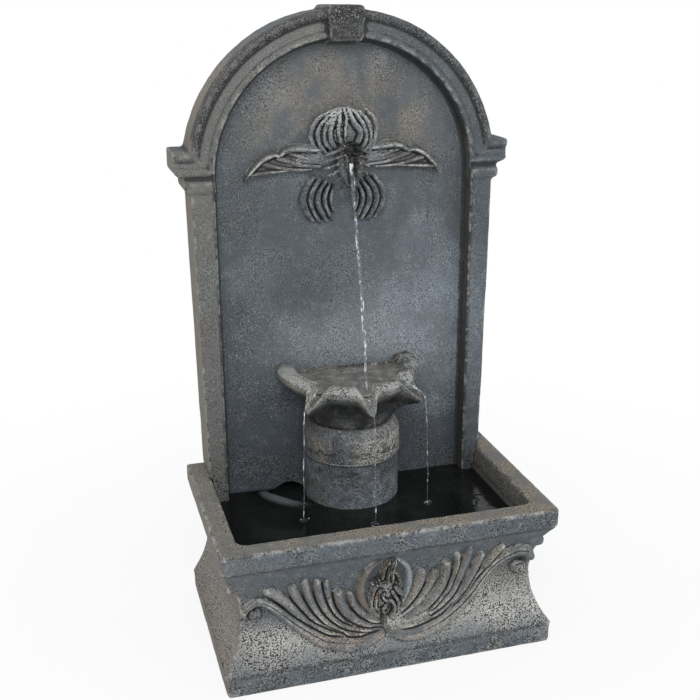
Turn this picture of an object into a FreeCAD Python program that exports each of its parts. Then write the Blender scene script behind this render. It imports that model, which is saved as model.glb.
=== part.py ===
import FreeCAD, Part
import math
import os
from FreeCAD import Vector

# Garden wall fountain: a cast basin with a coved skirt, an arched back panel with an iris
# spout, a scalloped catch bowl on a half-drum pedestal, and a small pump with its water tube.
# Millimetres. +Z is up, -Y is the front, the wall is at the back. The origin is at the middle
# of the footprint, on the ground.

# Basin
BASIN_WIDTH = 456.0
BASIN_DEPTH = 288.0
RIM_TOP = 204.0
FASCIA_HEIGHT = 26.0
PLINTH_HEIGHT = 28.0
PLINTH_INSET = 2.0
COVE_SAG = 26.0
COVE_LEDGE = 1.0
COVE_STRIPS = 6
CORNER_RADIUS = 8.0
RIM_FRONT = 30.0
RIM_SIDE = 28.0
REAR_WALL = 12.0
TANK_FLOOR = 45.0
FLOOR_THICKNESS = 9.0
TANK_CORNER = 14.0
SIDE_DRAFT = 19.0
FRONT_DRAFT = 14.0
REAR_DRAFT = 6.0
SKIRT_WALL = 13.0

# Acanthus relief on the basin's front, for its right half. Each leaf finger has the points where
# it starts, bends and ends, in x and z, and its width there.
LEAF_FINGERS = (
    ((20.0, 75.0), (40.0, 91.0), (50.0, 116.0), 8.0),
    ((29.0, 71.5), (55.0, 93.0), (66.5, 121.0), 9.0),
    ((38.0, 68.5), (69.0, 93.0), (84.5, 138.0), 8.0),
    ((46.0, 65.5), (81.0, 93.0), (98.0, 146.0), 8.5),
    ((54.0, 62.5), (93.0, 93.0), (113.5, 148.0), 9.0),
    ((62.0, 60.0), (105.0, 91.5), (131.0, 141.0), 10.0),
    ((70.0, 57.5), (118.0, 89.5), (158.0, 143.0), 13.0),
)
LEAF_STEM_WIDTH = 2.5
LEAF_RISE = 5.5
ARM_ROOT = (8.0, 52.0)
ARM_BEND = (72.0, 43.5)
ARM_KNEE = (128.0, 72.0)
ARM_WIDTH = 10.0
SCROLL_EYE = (181.0, 114.0)
SCROLL_RADIUS = 21.0
SCROLL_BAND = 9.0
SCROLL_EYE_RADIUS = 7.0
SHEATH_REACH = 46.0
SHEATH_WIDTH = 10.0
BUD_CENTRE = 112.0
BUD_HALF_WIDTH = 22.0
BUD_HALF_HEIGHT = 42.0
BUD_RISE = 13.0
SIDE_SCROLL_RADIUS = 15.0
SIDE_SCROLL_FROM_FRONT = 33.0
SIDE_SCROLL_HEIGHT = 152.0

# Back panel
TOTAL_HEIGHT = 838.0
FIELD_DEPTH = 44.0
PILASTER_DEPTH = 66.0
PANEL_SKIN = 9.0
PILASTER_FOOT_WIDTH = 407.0
PILASTER_HEAD_WIDTH = 418.0
PANEL_OPENING_WIDTH = 354.0
PILASTER_TOP = 608.0
SPRING_HEIGHT = 622.0
ARCH_RADIUS = 212.0
ARCH_BAND = 36.0
ARCH_BEAD = 12.0
ARCH_INNER_BEAD = 8.0
BEAD_RISE = 5.0
FASCIA_DEPTH = 63.0
SHOULDER_TOP = 662.0
SHOULDER_WIDTH = 460.0
SHOULDER_SIDE_FOOT = 637.0
CAPITAL_TOP = 625.0
CAPITAL_WIDTH = 434.0
CAPITAL_DEPTH = 69.0
KEYSTONE_TOP_WIDTH = 50.0
KEYSTONE_FOOT_WIDTH = 43.0
KEYSTONE_FOOT = 793.0
KEYSTONE_DEPTH = 70.0
CURTAIN_FOOT = 164.0
LEG_INNER_WIDTH = 300.0
NOTCH_MIDDLE = -85.0
NOTCH_WIDTH = 43.0
NOTCH_TOP = 173.5
SEAT_GAP = 0.3
TANK_GAP = 0.7

# Iris spout on the panel
SPOUT_HEIGHT = 651.0
DOME_HEIGHT = 674.0
DOME_HALF_WIDTH = 46.0
DOME_HALF_HEIGHT = 40.0
DOME_RISE = 30.0
LIP_FOOT = 609.0
LIP_REACH = 43.0
SEPAL_ROOT = (34.0, 642.0)
SEPAL_CREST = (92.0, 666.0)
SEPAL_TIP = (135.0, 617.0)
SEPAL_WIDTH = 30.0
SEPAL_RISE = 13.0
FALL_CENTRE = (35.0, 588.0)
FALL_HALF_WIDTH = 24.0
FALL_HALF_HEIGHT = 31.0
FALL_RISE = 13.0
DOME_RINGS = 4
DOME_SIDES = 16
LEAF_FLATS = 6

# Pedestal, a half drum that stands on the tank floor against the panel
DRUM_RADIUS = 67.6
DRUM_WALL = 9.5
DRUM_AXIS_FROM_FIELD = 33.0
COLLAR_FOOT = 234.6
COLLAR_OVERHANG = 2.4
COLLAR_SHOULDER = 262.0
PEDESTAL_TOP = 283.0
NECK_RADIUS = 60.0
PEDESTAL_BORE = 44.0
ARCH_FROM_AXIS = 21.0
ARCH_HALF_WIDTH = 15.0
ARCH_CROWN = 166.0

# Catch bowl
BOWL_FOOT_RADIUS = 57.0
BOWL_UNDERSIDE = 331.0
BOWL_RIM_TOP = 354.0
BOWL_RIM_RADIUS = 86.0
BOWL_SIDE_SPREAD = 19.0
BOWL_SIDE_LIFT = 8.0
BOWL_FLOOR = 318.0
BOWL_HUB = 44.0
BOWL_RECESS = 34.0
BOWL_BASE = 10.0
BOWL_BACK_WALL = 6.0
BOWL_WALL_TOP = 344.0
BOWL_END_ANGLE = 114.0
LIP_ANGLE = 49.3
LIP_SPREAD = 10.5
LIP_LENGTH = 24.0
LIP_DROP = 28.0
GASKET_THICKNESS = 1.5

# Fixings: one size of bolt, washer and moulded-in insert
BOLT_RADIUS = 3.0
BOLT_LENGTH = 20.0
BOLT_HEAD_FLATS = 10.0
BOLT_HEAD_HEIGHT = 4.0
BOLT_CLEARANCE = 0.3
WASHER_RADIUS = 6.2
WASHER_THICKNESS = 1.2
INSERT_RADIUS = 4.5
INSERT_LENGTH = 12.0
INSERT_BORE = 3.05
INSERT_GAP = 0.05
COUNTERBORE_RADIUS = 9.0
COUNTERBORE_DEPTH = 7.0
BOSS_RADIUS = 11.0
FOOT_BOLT_X = 158.0
FOOT_BOLT_Z = 188.0
BOWL_BOLT_X = 44.0
BOWL_BOLT_Z = 302.0
DRUM_BOLT_X = 50.0
DRUM_BOLT_Z = 222.0
DRUM_BOSS_RADIUS = 8.2

# Cord outlet through the basin's rear wall, above the water
CORD_X = 95.0
CORD_Z = 186.0
CORD_HOLE_RADIUS = 9.0
CORD_RADIUS = 3.5
CORD_FIT = 0.4
GROMMET_LIP = 2.0

# Pump
PUMP_WIDTH = 44.0
PUMP_REAR_FROM_FIELD = 12.0
PUMP_LENGTH = 50.0
PUMP_HEIGHT = 44.0
PUMP_WALL = 2.5
PUMP_CORNER = 5.0
CUP_HEIGHT = 8.0
CUP_RADIUS = 8.0
CUP_SPACING_X = 26.0
CUP_SPACING_Y = 32.0
VOLUTE_RADIUS = 17.0
VOLUTE_LENGTH = 16.0
ROTOR_RADIUS = 7.0
ROTOR_LENGTH = 24.0
ROTOR_GAP = 0.6
SLEEVE_WALL = 1.2
SHAFT_RADIUS = 1.2
SHAFT_FIT = 0.05
IMPELLER_RADIUS = 13.0
IMPELLER_BLADES = 6
BLADE_HEIGHT = 7.0
BLADE_THICKNESS = 1.4
IMPELLER_PLATE = 1.6
STRAINER_REACH = 15.0
STRAINER_WALL = 2.0
STRAINER_SLOT = 2.4
STRAINER_FIT = 0.3
DIAL_RADIUS = 9.0
DIAL_THICKNESS = 2.5
DIAL_PIVOT = 2.5
DIAL_FIT = 0.1
DIAL_PORT_X = 5.8
DIAL_PORT_RADIUS = 2.0
NOZZLE_X = 9.0
NOZZLE_RADIUS = 4.6
NOZZLE_BORE = 3.2
NOZZLE_TOP = 117.0
CORE_LEG = 8.0
CORE_STACK = 12.0
BUSH_RADIUS = 3.2
BUSH_LENGTH = 4.0
STEM_RADIUS = 3.4
INLET_RADIUS = 8.0
FLANGE = 3.0
SEAL_RADIUS = 17.2
SEAL_SECTION = 0.7
GLAND_X = -12.0
GLAND_NECK = 4.2
GLAND_BORE = 3.0

# Water tube and spout
TUBE_RADIUS = 6.2
TUBE_BORE = 4.85
TUBE_SIDES = 12
TUBE_STEP = 20.0
TUBE_START = 104.0
TUBE_LEVEL = 154.0
TUBE_BEHIND = 12.0
TUBE_END = 636.0
SPOUT_RADIUS = 6.0
SPOUT_BORE = 4.8
SPOUT_REACH = 26.0
MOUTH_RADIUS = 9.0
ELBOW_RADIUS = 7.6
ELBOW_GAP = 0.1
CLAMP_WIDTH = 8.0
CLAMP_THICKNESS = 0.9
CLIP_WIDTH = 10.0
CLIP_WALL = 1.8
CLIP_FOOT = 26.0

# Planes and levels that follow from the sizes above
REAR = BASIN_DEPTH / 2
FRONT = -BASIN_DEPTH / 2
FIELD = REAR - FIELD_DEPTH
PILASTER = REAR - PILASTER_DEPTH
PLATE_BACK = FIELD + PANEL_SKIN
DRUM_Y = FIELD - DRUM_AXIS_FROM_FIELD
REAR_WALL_FACE = REAR - REAR_WALL
TANK_HALF = BASIN_WIDTH / 2 - RIM_SIDE
TANK_FRONT = FRONT + RIM_FRONT
COVE_TOP = RIM_TOP - FASCIA_HEIGHT
COVE_MIDDLE = (COVE_TOP + PLINTH_HEIGHT) / 2
PUMP_REAR = FIELD + PUMP_REAR_FROM_FIELD
PUMP_FRONT = PUMP_REAR - PUMP_LENGTH
PUMP_FLOOR = TANK_FLOOR + CUP_HEIGHT
PUMP_TOP = PUMP_FLOOR + PUMP_HEIGHT
SHAFT_Z = PUMP_FLOOR + PUMP_HEIGHT * 0.5
VOLUTE_FRONT = PUMP_FRONT - VOLUTE_LENGTH
STRAINER_FRONT = VOLUTE_FRONT - STRAINER_REACH
TUBE_Y = PLATE_BACK + TUBE_BEHIND
NOZZLE_Y = PUMP_FRONT - VOLUTE_LENGTH * 0.5


def block(x0, x1, y0, y1, z0, z1):
    """A box between two corners."""
    return Part.makeBox(x1 - x0, y1 - y0, z1 - z0, Vector(x0, y0, z0))


def flats(radius):
    """How many flats stand for a full round of that radius."""
    if radius < 12.0:
        return 12
    if radius < 30.0:
        return 20
    return 32 if radius < 100.0 else 60


def rod(radius, start, end):
    """A round rod from one point to another, laid in flats."""
    axis = Vector(*end) - Vector(*start)
    turn = FreeCAD.Rotation(Vector(0, 0, 1), axis)
    count = flats(radius)
    spots = []
    for i in range(count):
        a = 2 * math.pi * i / count
        spots.append(Vector(*start) + turn.multVec(Vector(radius * math.cos(a), radius * math.sin(a), 0)))
    return Part.Face(Part.makePolygon(spots + spots[:1])).extrude(axis)


def round_hole(radius, start, end):
    """A rod whose flats touch the radius from outside, to cut a hole a full round fits in."""
    return rod(radius / math.cos(math.pi / flats(radius)), start, end)


def rod_y(radius, x, z, y0, y1):
    """A round rod along y."""
    return rod(radius, (x, y0, z), (x, y1, z))


def arc_points(start, via, end):
    """The points after start along an arc through via, as close as its radius asks."""
    edge = Part.Arc(start, via, end).toShape()
    radius = edge.Curve.Radius
    count = math.ceil(flats(radius) * edge.Length / (2 * math.pi * radius) - 0.01)
    return edge.discretize(max(count, 2) + 1)[1:]


def outline(points):
    """A closed wire through points. A point given as (via, end) is reached along an arc, in flats."""
    spots = [points[0]]
    for item in points[1:]:
        if isinstance(item, tuple):
            spots += arc_points(spots[-1], *item)
        else:
            spots.append(item)
    if spots[-1].distanceToPoint(spots[0]) > 1e-6:
        spots.append(spots[0])
    else:
        spots[-1] = spots[0]
    return Part.makePolygon(spots)


def facets(spots):
    """One flat face through three or four points, or two where four aren't in one plane."""
    corners = [p for i, p in enumerate(spots) if p.distanceToPoint(spots[i - 1]) > 1e-6]
    if len(corners) < 3:
        return []
    if len(corners) == 4:
        a, b, c, d = corners
        normal = (b - a).cross(c - a)
        if abs(normal.dot(d - a)) > 1e-5 * normal.Length:
            return facets([a, b, c]) + facets([a, c, d])
    return [Part.Face(Part.makePolygon(corners + corners[:1]))]


def skin(rows, closed):
    """A solid whose flat faces join each row of points to the next, and the last to the first if closed."""
    faces = []
    for i in range(0 if closed else 1, len(rows)):
        near, far = rows[i - 1], rows[i]
        for j in range(len(near)):
            faces += facets([near[j - 1], near[j], far[j], far[j - 1]])
    if not closed:
        for row in (rows[0], rows[-1]):
            faces.append(Part.Face(Part.makePolygon(row + row[:1])))
    shell = Part.makeShell(faces)
    shell.sewShape()
    solid = Part.makeSolid(shell)
    if solid.Volume < 0:
        solid.reverse()
    return solid


def slab_y(points, y0, y1):
    """An outline in x and z, run from y0 to y1. Arcs are ((x, z), (x, z)) pairs."""
    path = [lift_xz(p, y0) for p in points]
    return Part.Face(outline(path)).extrude(Vector(0, y1 - y0, 0))


def lift_xz(p, y):
    """A point or arc pair in x and z, placed at y."""
    if isinstance(p[0], tuple):
        return (Vector(p[0][0], y, p[0][1]), Vector(p[1][0], y, p[1][1]))
    return Vector(p[0], y, p[1])


def slab_x(points, x0, x1):
    """An outline in y and z, run from x0 to x1."""
    path = []
    for p in points:
        if isinstance(p[0], tuple):
            path.append((Vector(x0, *p[0]), Vector(x0, *p[1])))
        else:
            path.append(Vector(x0, *p))
    return Part.Face(outline(path)).extrude(Vector(x1 - x0, 0, 0))


def turned(points, centre, axis):
    """An outline in radius and height, turned about an upright or a level axis, in flats."""
    count = flats(max(r for r, _ in points))
    turn = FreeCAD.Rotation(Vector(0, 0, 1), axis)
    rows = []
    for i in range(count):
        a = 2 * math.pi * i / count
        spots = [Vector(r * math.cos(a), r * math.sin(a), h) for r, h in points]
        rows.append([centre + turn.multVec(p) for p in spots])
    return skin(rows, True)


def rounded_rectangle(x0, x1, y0, y1, radius, z):
    """A level rectangle with round corners."""
    k = radius * (1 - math.sqrt(0.5))
    corners = [
        Vector(x0 + radius, y0, z),
        Vector(x1 - radius, y0, z),
        (Vector(x1 - k, y0 + k, z), Vector(x1, y0 + radius, z)),
        Vector(x1, y1 - radius, z),
        (Vector(x1 - k, y1 - k, z), Vector(x1 - radius, y1, z)),
        Vector(x0 + radius, y1, z),
        (Vector(x0 + k, y1 - k, z), Vector(x0, y1 - radius, z)),
        Vector(x0, y0 + radius, z),
        (Vector(x0 + k, y0 + k, z), Vector(x0 + radius, y0, z)),
    ]
    return outline(corners)


def front_block(half, front, radius, z0, z1):
    """A block to the rear plane, its two front corners rounded."""
    k = radius * (1 - math.sqrt(0.5))
    corners = [
        Vector(-half, REAR, z0),
        Vector(half, REAR, z0),
        Vector(half, front + radius, z0),
        (Vector(half - k, front + k, z0), Vector(half - radius, front, z0)),
        Vector(radius - half, front, z0),
        (Vector(k - half, front + k, z0), Vector(-half, front + radius, z0)),
    ]
    return Part.Face(outline(corners)).extrude(Vector(0, 0, z1 - z0))


def mirrored(shape):
    """The same shape on the other side of the middle plane."""
    return shape.mirror(Vector(0, 0, 0), Vector(1, 0, 0))


def cove_inset(z):
    """How far the cove lies behind the rim's front face at height z."""
    half = (COVE_TOP - PLINTH_HEIGHT) / 2
    radius = (half * half + COVE_SAG * COVE_SAG) / (2 * COVE_SAG)
    rise = min(abs(z - COVE_MIDDLE), half)
    return COVE_LEDGE + COVE_SAG - radius + math.sqrt(radius * radius - rise * rise)


def cove_point(x, z):
    """The point of the basin's front at (x, z)."""
    return Vector(x, FRONT + cove_inset(z), z)


def tank_form(gap, bottom, top):
    """The drafted hollow of the tank, drawn in by a gap, between two heights."""
    rows = []
    for z in (bottom, top):
        k = (RIM_TOP - z) / (RIM_TOP - TANK_FLOOR)
        half = TANK_HALF - SIDE_DRAFT * k - gap
        y0 = TANK_FRONT + FRONT_DRAFT * k + gap
        y1 = REAR_WALL_FACE - REAR_DRAFT * k - gap
        wire = rounded_rectangle(-half, half, y0, y1, TANK_CORNER, z)
        rows.append([v.Point for v in wire.OrderedVertexes])
    return skin(rows, False)


def strips(start, via, end, count):
    """The points after start along an arc through via, for an arc laid as flat strips."""
    arc = Part.Arc(Vector(*start, 0), Vector(*via, 0), Vector(*end, 0)).toShape()
    return [(p.x, p.y) for p in arc.discretize(count + 1)[1:]]


def dome(centre, half_width, rise, half_height):
    """An egg-shaped dome on an upright surface, in rings, with a short root behind it."""
    section = [(0, -2.0), (1, -2.0), (1, 0)]
    for i in range(1, DOME_RINGS):
        a = math.pi / 2 * i / DOME_RINGS
        section.append((math.cos(a), rise * math.sin(a)))
    section.append((0, rise))
    rows = []
    for i in range(DOME_SIDES):
        a = 2 * math.pi * i / DOME_SIDES
        wide, high = half_width * math.cos(a), half_height * math.sin(a)
        rows.append([centre + Vector(r * wide, -h, r * high) for r, h in section])
    return skin(rows, True)


def bend(start, control, end, count):
    """Points along a curve from start to end, drawn towards a control point."""
    points = []
    for i in range(count):
        t = i / (count - 1)
        weights = ((1 - t) ** 2, 2 * t * (1 - t), t * t)
        x = weights[0] * start[0] + weights[1] * control[0] + weights[2] * end[0]
        z = weights[0] * start[1] + weights[1] * control[1] + weights[2] * end[1]
        points.append((x, z))
    return points


def finger(start, middle, tip, width0, width1, width2):
    """The outline of a curved leaf finger: two arcs, a stem end and a round tip."""
    along = Vector(tip[0] - start[0], 0, tip[1] - start[1]).normalize()
    first = Vector(middle[0] - start[0], 0, middle[1] - start[1]).normalize()
    last = Vector(tip[0] - middle[0], 0, tip[1] - middle[1]).normalize()
    left, right = [], []
    for spot, way, width in ((start, first, width0), (middle, along, width1), (tip, last, width2)):
        dx = -way.z * width / 2
        dz = way.x * width / 2
        left.append((spot[0] + dx, spot[1] + dz))
        right.append((spot[0] - dx, spot[1] - dz))
    end = (tip[0] + last.x * width2 / 2, tip[1] + last.z * width2 / 2)
    return [right[0], (right[1], right[2]), (end, left[2]), (left[1], left[0])]


def relief_layer(rise):
    """The basin's front cove with a skin of the given thickness on it."""
    low = PLINTH_HEIGHT + LEAF_RISE
    high = COVE_TOP - LEAF_RISE
    back = FRONT + COVE_LEDGE + COVE_SAG + 2.0
    spots = [(FRONT + cove_inset(z) - rise, z) for z in (high, COVE_MIDDLE, low)]
    half = BASIN_WIDTH / 2 - COVE_LEDGE - COVE_SAG * 0.5
    curve = strips(*spots, COVE_STRIPS)
    return slab_x([(back, high), spots[0]] + curve + [(back, low)], -half, half)


def scroll_arm():
    """The lowest leaf of a fan, which ends in a scroll round an eye."""
    ex, ez = SCROLL_EYE
    inner = SCROLL_RADIUS - SCROLL_BAND

    def around(radius, turn):
        a = math.radians(turn)
        return (ex + radius * math.cos(a), ez + radius * math.sin(a))

    half = ARM_WIDTH / 2
    return [
        (ARM_ROOT[0], ARM_ROOT[1] - half),
        ((ARM_BEND[0], ARM_BEND[1] - half), (ARM_KNEE[0] + half * 0.6, ARM_KNEE[1] - half)),
        around(inner, 195),
        (around(inner, 90), around(inner, -30)),
        (around((inner + SCROLL_RADIUS) / 2, -50), around(SCROLL_RADIUS, -30)),
        (around(SCROLL_RADIUS, 60), around(SCROLL_RADIUS, 150)),
        (ARM_KNEE[0] - half * 0.6, ARM_KNEE[1] + half),
        ((ARM_BEND[0], ARM_BEND[1] + half), (ARM_ROOT[0], ARM_ROOT[1] + half)),
    ]


def acanthus():
    """The leaf relief of the basin's front: two fans with scrolls, and a bud in its sheath."""
    outlines = [scroll_arm()]
    for start, middle, tip, width in LEAF_FINGERS:
        outlines.append(finger(start, middle, tip, LEAF_STEM_WIDTH, width * 0.75, width))
    reach = BUD_HALF_HEIGHT + 4.0
    side = BUD_HALF_WIDTH * 0.6
    outlines.append(
        [
            (side, BUD_CENTRE - reach),
            ((SHEATH_REACH, BUD_CENTRE), (side, BUD_CENTRE + reach)),
            ((SHEATH_REACH - SHEATH_WIDTH, BUD_CENTRE), (side, BUD_CENTRE - reach)),
        ]
    )
    back = FRONT + COVE_LEDGE + COVE_SAG + 1.0
    prisms = [slab_y(points, FRONT, back) for points in outlines]
    prisms += [mirrored(p) for p in prisms]
    leaves = [p.common(relief_layer(LEAF_RISE)) for p in prisms]
    for x in (-SCROLL_EYE[0], SCROLL_EYE[0]):
        leaves.append(dome(cove_point(x, SCROLL_EYE[1]), SCROLL_EYE_RADIUS, LEAF_RISE, SCROLL_EYE_RADIUS))
    leaves.append(dome(cove_point(0, BUD_CENTRE), BUD_HALF_WIDTH, BUD_RISE, BUD_HALF_HEIGHT))
    return leaves


def side_scrolls():
    """The round end of each scroll where it turns onto the basin's side."""
    centre = Vector(0, FRONT + SIDE_SCROLL_FROM_FRONT, SIDE_SCROLL_HEIGHT)
    out = BASIN_WIDTH / 2 - cove_inset(SIDE_SCROLL_HEIGHT) + LEAF_RISE
    disc = rod(SIDE_SCROLL_RADIUS, (out - 3 * LEAF_RISE, centre.y, centre.z), (out, centre.y, centre.z))
    return [disc, mirrored(disc)]


def skirt():
    """The coved front and sides under the basin's fascia, their two corners bevelled."""
    rows = []
    bevel = CORNER_RADIUS * 0.6
    foot = (0, PLINTH_HEIGHT)
    for inset, z in [foot] + strips(foot, (COVE_SAG, COVE_MIDDLE), (0, COVE_TOP), COVE_STRIPS):
        half = BASIN_WIDTH / 2 - COVE_LEDGE - inset
        face = FRONT + COVE_LEDGE + inset
        rear = [(half, REAR), (-half, REAR)]
        front = [(-half, face + bevel), (bevel - half, face), (half - bevel, face), (half, face + bevel)]
        rows.append([Vector(x, y, z) for x, y in rear + front])
    return skin(rows, False)


def basin():
    """The tank with its coved skirt, one casting that is open below."""
    half = BASIN_WIDTH / 2
    fascia = front_block(half, FRONT, CORNER_RADIUS, COVE_TOP, RIM_TOP)
    plinth = front_block(half - PLINTH_INSET, FRONT + PLINTH_INSET, CORNER_RADIUS, 0, PLINTH_HEIGHT)
    body = fascia.fuse([skirt(), plinth])
    tank = tank_form(0.0, TANK_FLOOR, RIM_TOP + 0.001)
    shaft = half - PLINTH_INSET - SKIRT_WALL
    wire = rounded_rectangle(
        -shaft, shaft, FRONT + PLINTH_INSET + SKIRT_WALL, REAR_WALL_FACE, TANK_CORNER, -1.0
    )
    hollow = Part.Face(wire).extrude(Vector(0, 0, TANK_FLOOR - FLOOR_THICKNESS + 1.0))
    body = body.fuse(acanthus() + side_scrolls())
    body = body.cut([tank, hollow])
    inside = REAR_WALL_FACE - REAR_DRAFT - 1
    seat = REAR - COUNTERBORE_DEPTH
    holes = [rod_y(CORD_HOLE_RADIUS, CORD_X, CORD_Z, inside, REAR + 1)]
    holes.append(rod_y(CORD_HOLE_RADIUS + GROMMET_LIP + 1.0, CORD_X, CORD_Z, seat, REAR + 1))
    for x in (-FOOT_BOLT_X, FOOT_BOLT_X):
        holes.append(rod_y(BOLT_RADIUS + BOLT_CLEARANCE, x, FOOT_BOLT_Z, inside, REAR + 1))
        holes.append(rod_y(COUNTERBORE_RADIUS, x, FOOT_BOLT_Z, seat, REAR + 1))
    return body.cut(holes)


def arch():
    """The moulded arch: an outer bead, a sunk fascia and an inner bead, turned about its centre."""
    outer = ARCH_RADIUS
    bead = outer - ARCH_BEAD
    inner = outer - ARCH_BAND
    small = inner + ARCH_INNER_BEAD
    centre = Vector(0, REAR, SPRING_HEIGHT)
    bead_crown = ((outer + bead) / 2, FASCIA_DEPTH + BEAD_RISE)
    small_crown = ((inner + small) / 2, FASCIA_DEPTH + BEAD_RISE * 0.6)
    section = [(inner, 0), (outer, 0), (outer, FASCIA_DEPTH)]
    section += strips((outer, FASCIA_DEPTH), bead_crown, (bead, FASCIA_DEPTH - 1.5), 4)
    section += [(bead - 1.5, FASCIA_DEPTH), (small, FASCIA_DEPTH)]
    section += strips((small, FASCIA_DEPTH), small_crown, (inner, FASCIA_DEPTH), 3)
    ring = turned(section, centre, Vector(0, -1, 0))
    above = block(-outer - 1, outer + 1, FRONT, REAR, SPRING_HEIGHT - 30, TOTAL_HEIGHT)
    return ring.common(above).cut(shoulder_zone())


def shoulder_zone():
    """The two corners below the mitre where the arch mouldings turn outward."""
    inner = ARCH_RADIUS - ARCH_BAND
    wide = SHOULDER_WIDTH / 2 + 1
    low = SPRING_HEIGHT - 40
    mitre = SHOULDER_TOP - ARCH_BAND + 4
    points = [(inner - 10, low), (wide, low), (wide, SHOULDER_TOP), (ARCH_RADIUS, SHOULDER_TOP)]
    points += [(inner, mitre), (inner - 10, mitre)]
    zone = slab_y(points, FRONT, REAR)
    return zone.fuse(mirrored(zone))


def shoulders():
    """The mouldings of the arch, turned outward on top of each pilaster, with the capital."""
    inner = PANEL_OPENING_WIDTH / 2
    wide = SHOULDER_WIDTH / 2
    cap = CAPITAL_WIDTH / 2
    bead_foot = SHOULDER_TOP - ARCH_BEAD
    small_foot = SHOULDER_TOP - ARCH_BAND + 4
    small_top = small_foot + ARCH_INNER_BEAD
    face = REAR - FASCIA_DEPTH
    side = [
        (inner - 1, PILASTER_TOP),
        (PILASTER_HEAD_WIDTH / 2, PILASTER_TOP),
        ((cap - 1.5, PILASTER_TOP + 3.0), (cap, PILASTER_TOP + 8.0)),
        (cap, CAPITAL_TOP),
        (cap + 2, CAPITAL_TOP + 3),
        ((wide - 4, SHOULDER_SIDE_FOOT - 6), (wide, SHOULDER_SIDE_FOOT)),
        (wide, SHOULDER_TOP),
        (inner - 1, SHOULDER_TOP),
    ]
    front = [
        (REAR, PILASTER_TOP),
        (PILASTER, PILASTER_TOP),
        (REAR - CAPITAL_DEPTH, PILASTER_TOP + 3.0),
        (REAR - CAPITAL_DEPTH, CAPITAL_TOP - 3.0),
        (face + 2, CAPITAL_TOP),
        (face + 2, small_foot),
        ((face - BEAD_RISE * 0.6, small_foot + ARCH_INNER_BEAD / 2), (face, small_top)),
        (face, bead_foot - 1.5),
        (face + 1.5, bead_foot),
        ((face - BEAD_RISE, SHOULDER_TOP - ARCH_BEAD / 2), (face, SHOULDER_TOP)),
        (REAR, SHOULDER_TOP),
    ]
    right = slab_y(side, FRONT, REAR).common(slab_x(front, inner - 1, wide + 1))
    both = right.fuse(mirrored(right))
    return both.common(shoulder_zone())


def keystone():
    """The wedge at the arch's top, proud of it on the front and above."""
    top = KEYSTONE_TOP_WIDTH / 2
    foot = KEYSTONE_FOOT_WIDTH / 2
    crown = SPRING_HEIGHT + ARCH_RADIUS
    face = [(-foot, KEYSTONE_FOOT), (foot, KEYSTONE_FOOT), (top, crown - 6), (top - 1, TOTAL_HEIGHT)]
    face += [(1 - top, TOTAL_HEIGHT), (-top, crown - 6)]
    wedge = slab_y(face, REAR - KEYSTONE_DEPTH, REAR)
    profile = [
        (REAR, KEYSTONE_FOOT),
        (REAR - KEYSTONE_DEPTH + 2, KEYSTONE_FOOT),
        (REAR - KEYSTONE_DEPTH, KEYSTONE_FOOT + 2),
        (REAR - KEYSTONE_DEPTH, crown - 5),
        ((REAR - KEYSTONE_DEPTH + 3, TOTAL_HEIGHT - 2.5), (REAR - KEYSTONE_DEPTH + 12, TOTAL_HEIGHT)),
        (REAR, TOTAL_HEIGHT),
    ]
    return wedge.common(slab_x(profile, -top - 1, top + 1))


def iris():
    """The iris on the panel: a hood, two drooping side petals, a lip and two ribbed falls."""
    forms = [dome(Vector(0, FIELD, DOME_HEIGHT), DOME_HALF_WIDTH, DOME_RISE, DOME_HALF_HEIGHT)]
    forms += [petal(1), petal(-1)]
    for x in (-FALL_CENTRE[0], FALL_CENTRE[0]):
        forms.append(dome(Vector(x, FIELD, FALL_CENTRE[1]), FALL_HALF_WIDTH, FALL_RISE, FALL_HALF_HEIGHT))
    forms.append(lip())
    return forms


def petal(side):
    """A side petal: lens-shaped sections laid from its root over its crest to its tip."""
    path = bend(SEPAL_ROOT, (SEPAL_CREST[0] - 8, SEPAL_CREST[1] + 12), SEPAL_TIP, 6)
    rows = []
    for i, (x, z) in enumerate(path):
        ahead = path[min(i + 1, 5)]
        behind = path[max(i - 1, 0)]
        way = Vector(ahead[0] - behind[0], 0, ahead[1] - behind[1]).normalize()
        across = Vector(-way.z, 0, way.x) * (SEPAL_WIDTH / 2 * (0.75, 0.92, 1.0, 0.95, 0.7, 0.18)[i])
        rise = SEPAL_RISE * (0.9, 1.0, 1.0, 0.9, 0.7, 0.3)[i]
        spot = Vector(x, FIELD + 1.0, z)
        low = spot - across
        high = spot + across
        top = spot + across * 0.25 + Vector(0, -rise - 1.0, 0)
        rows.append([low] + Part.Arc(low, top, high).toShape().discretize(LEAF_FLATS + 1)[1:])
    right = skin(rows, False)
    return right if side > 0 else mirrored(right)


def lip():
    """The lower lip that the water runs over: half-round sections that narrow downward."""
    rows = []
    for k in (0.0, 0.5, 1.0):
        z = SPOUT_HEIGHT - 6.0 + (LIP_FOOT - SPOUT_HEIGHT + 6.0) * k
        half = 17.0 - 9.0 * k
        reach = LIP_REACH - 14.0 * (1 - k)
        left = Vector(-half, FIELD + 1.0, z)
        right = Vector(half, FIELD + 1.0, z)
        front = Vector(0, FIELD - reach, z)
        rows.append([left] + Part.Arc(left, front, right).toShape().discretize(LEAF_FLATS + 1)[1:])
    return skin(rows, False)


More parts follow.
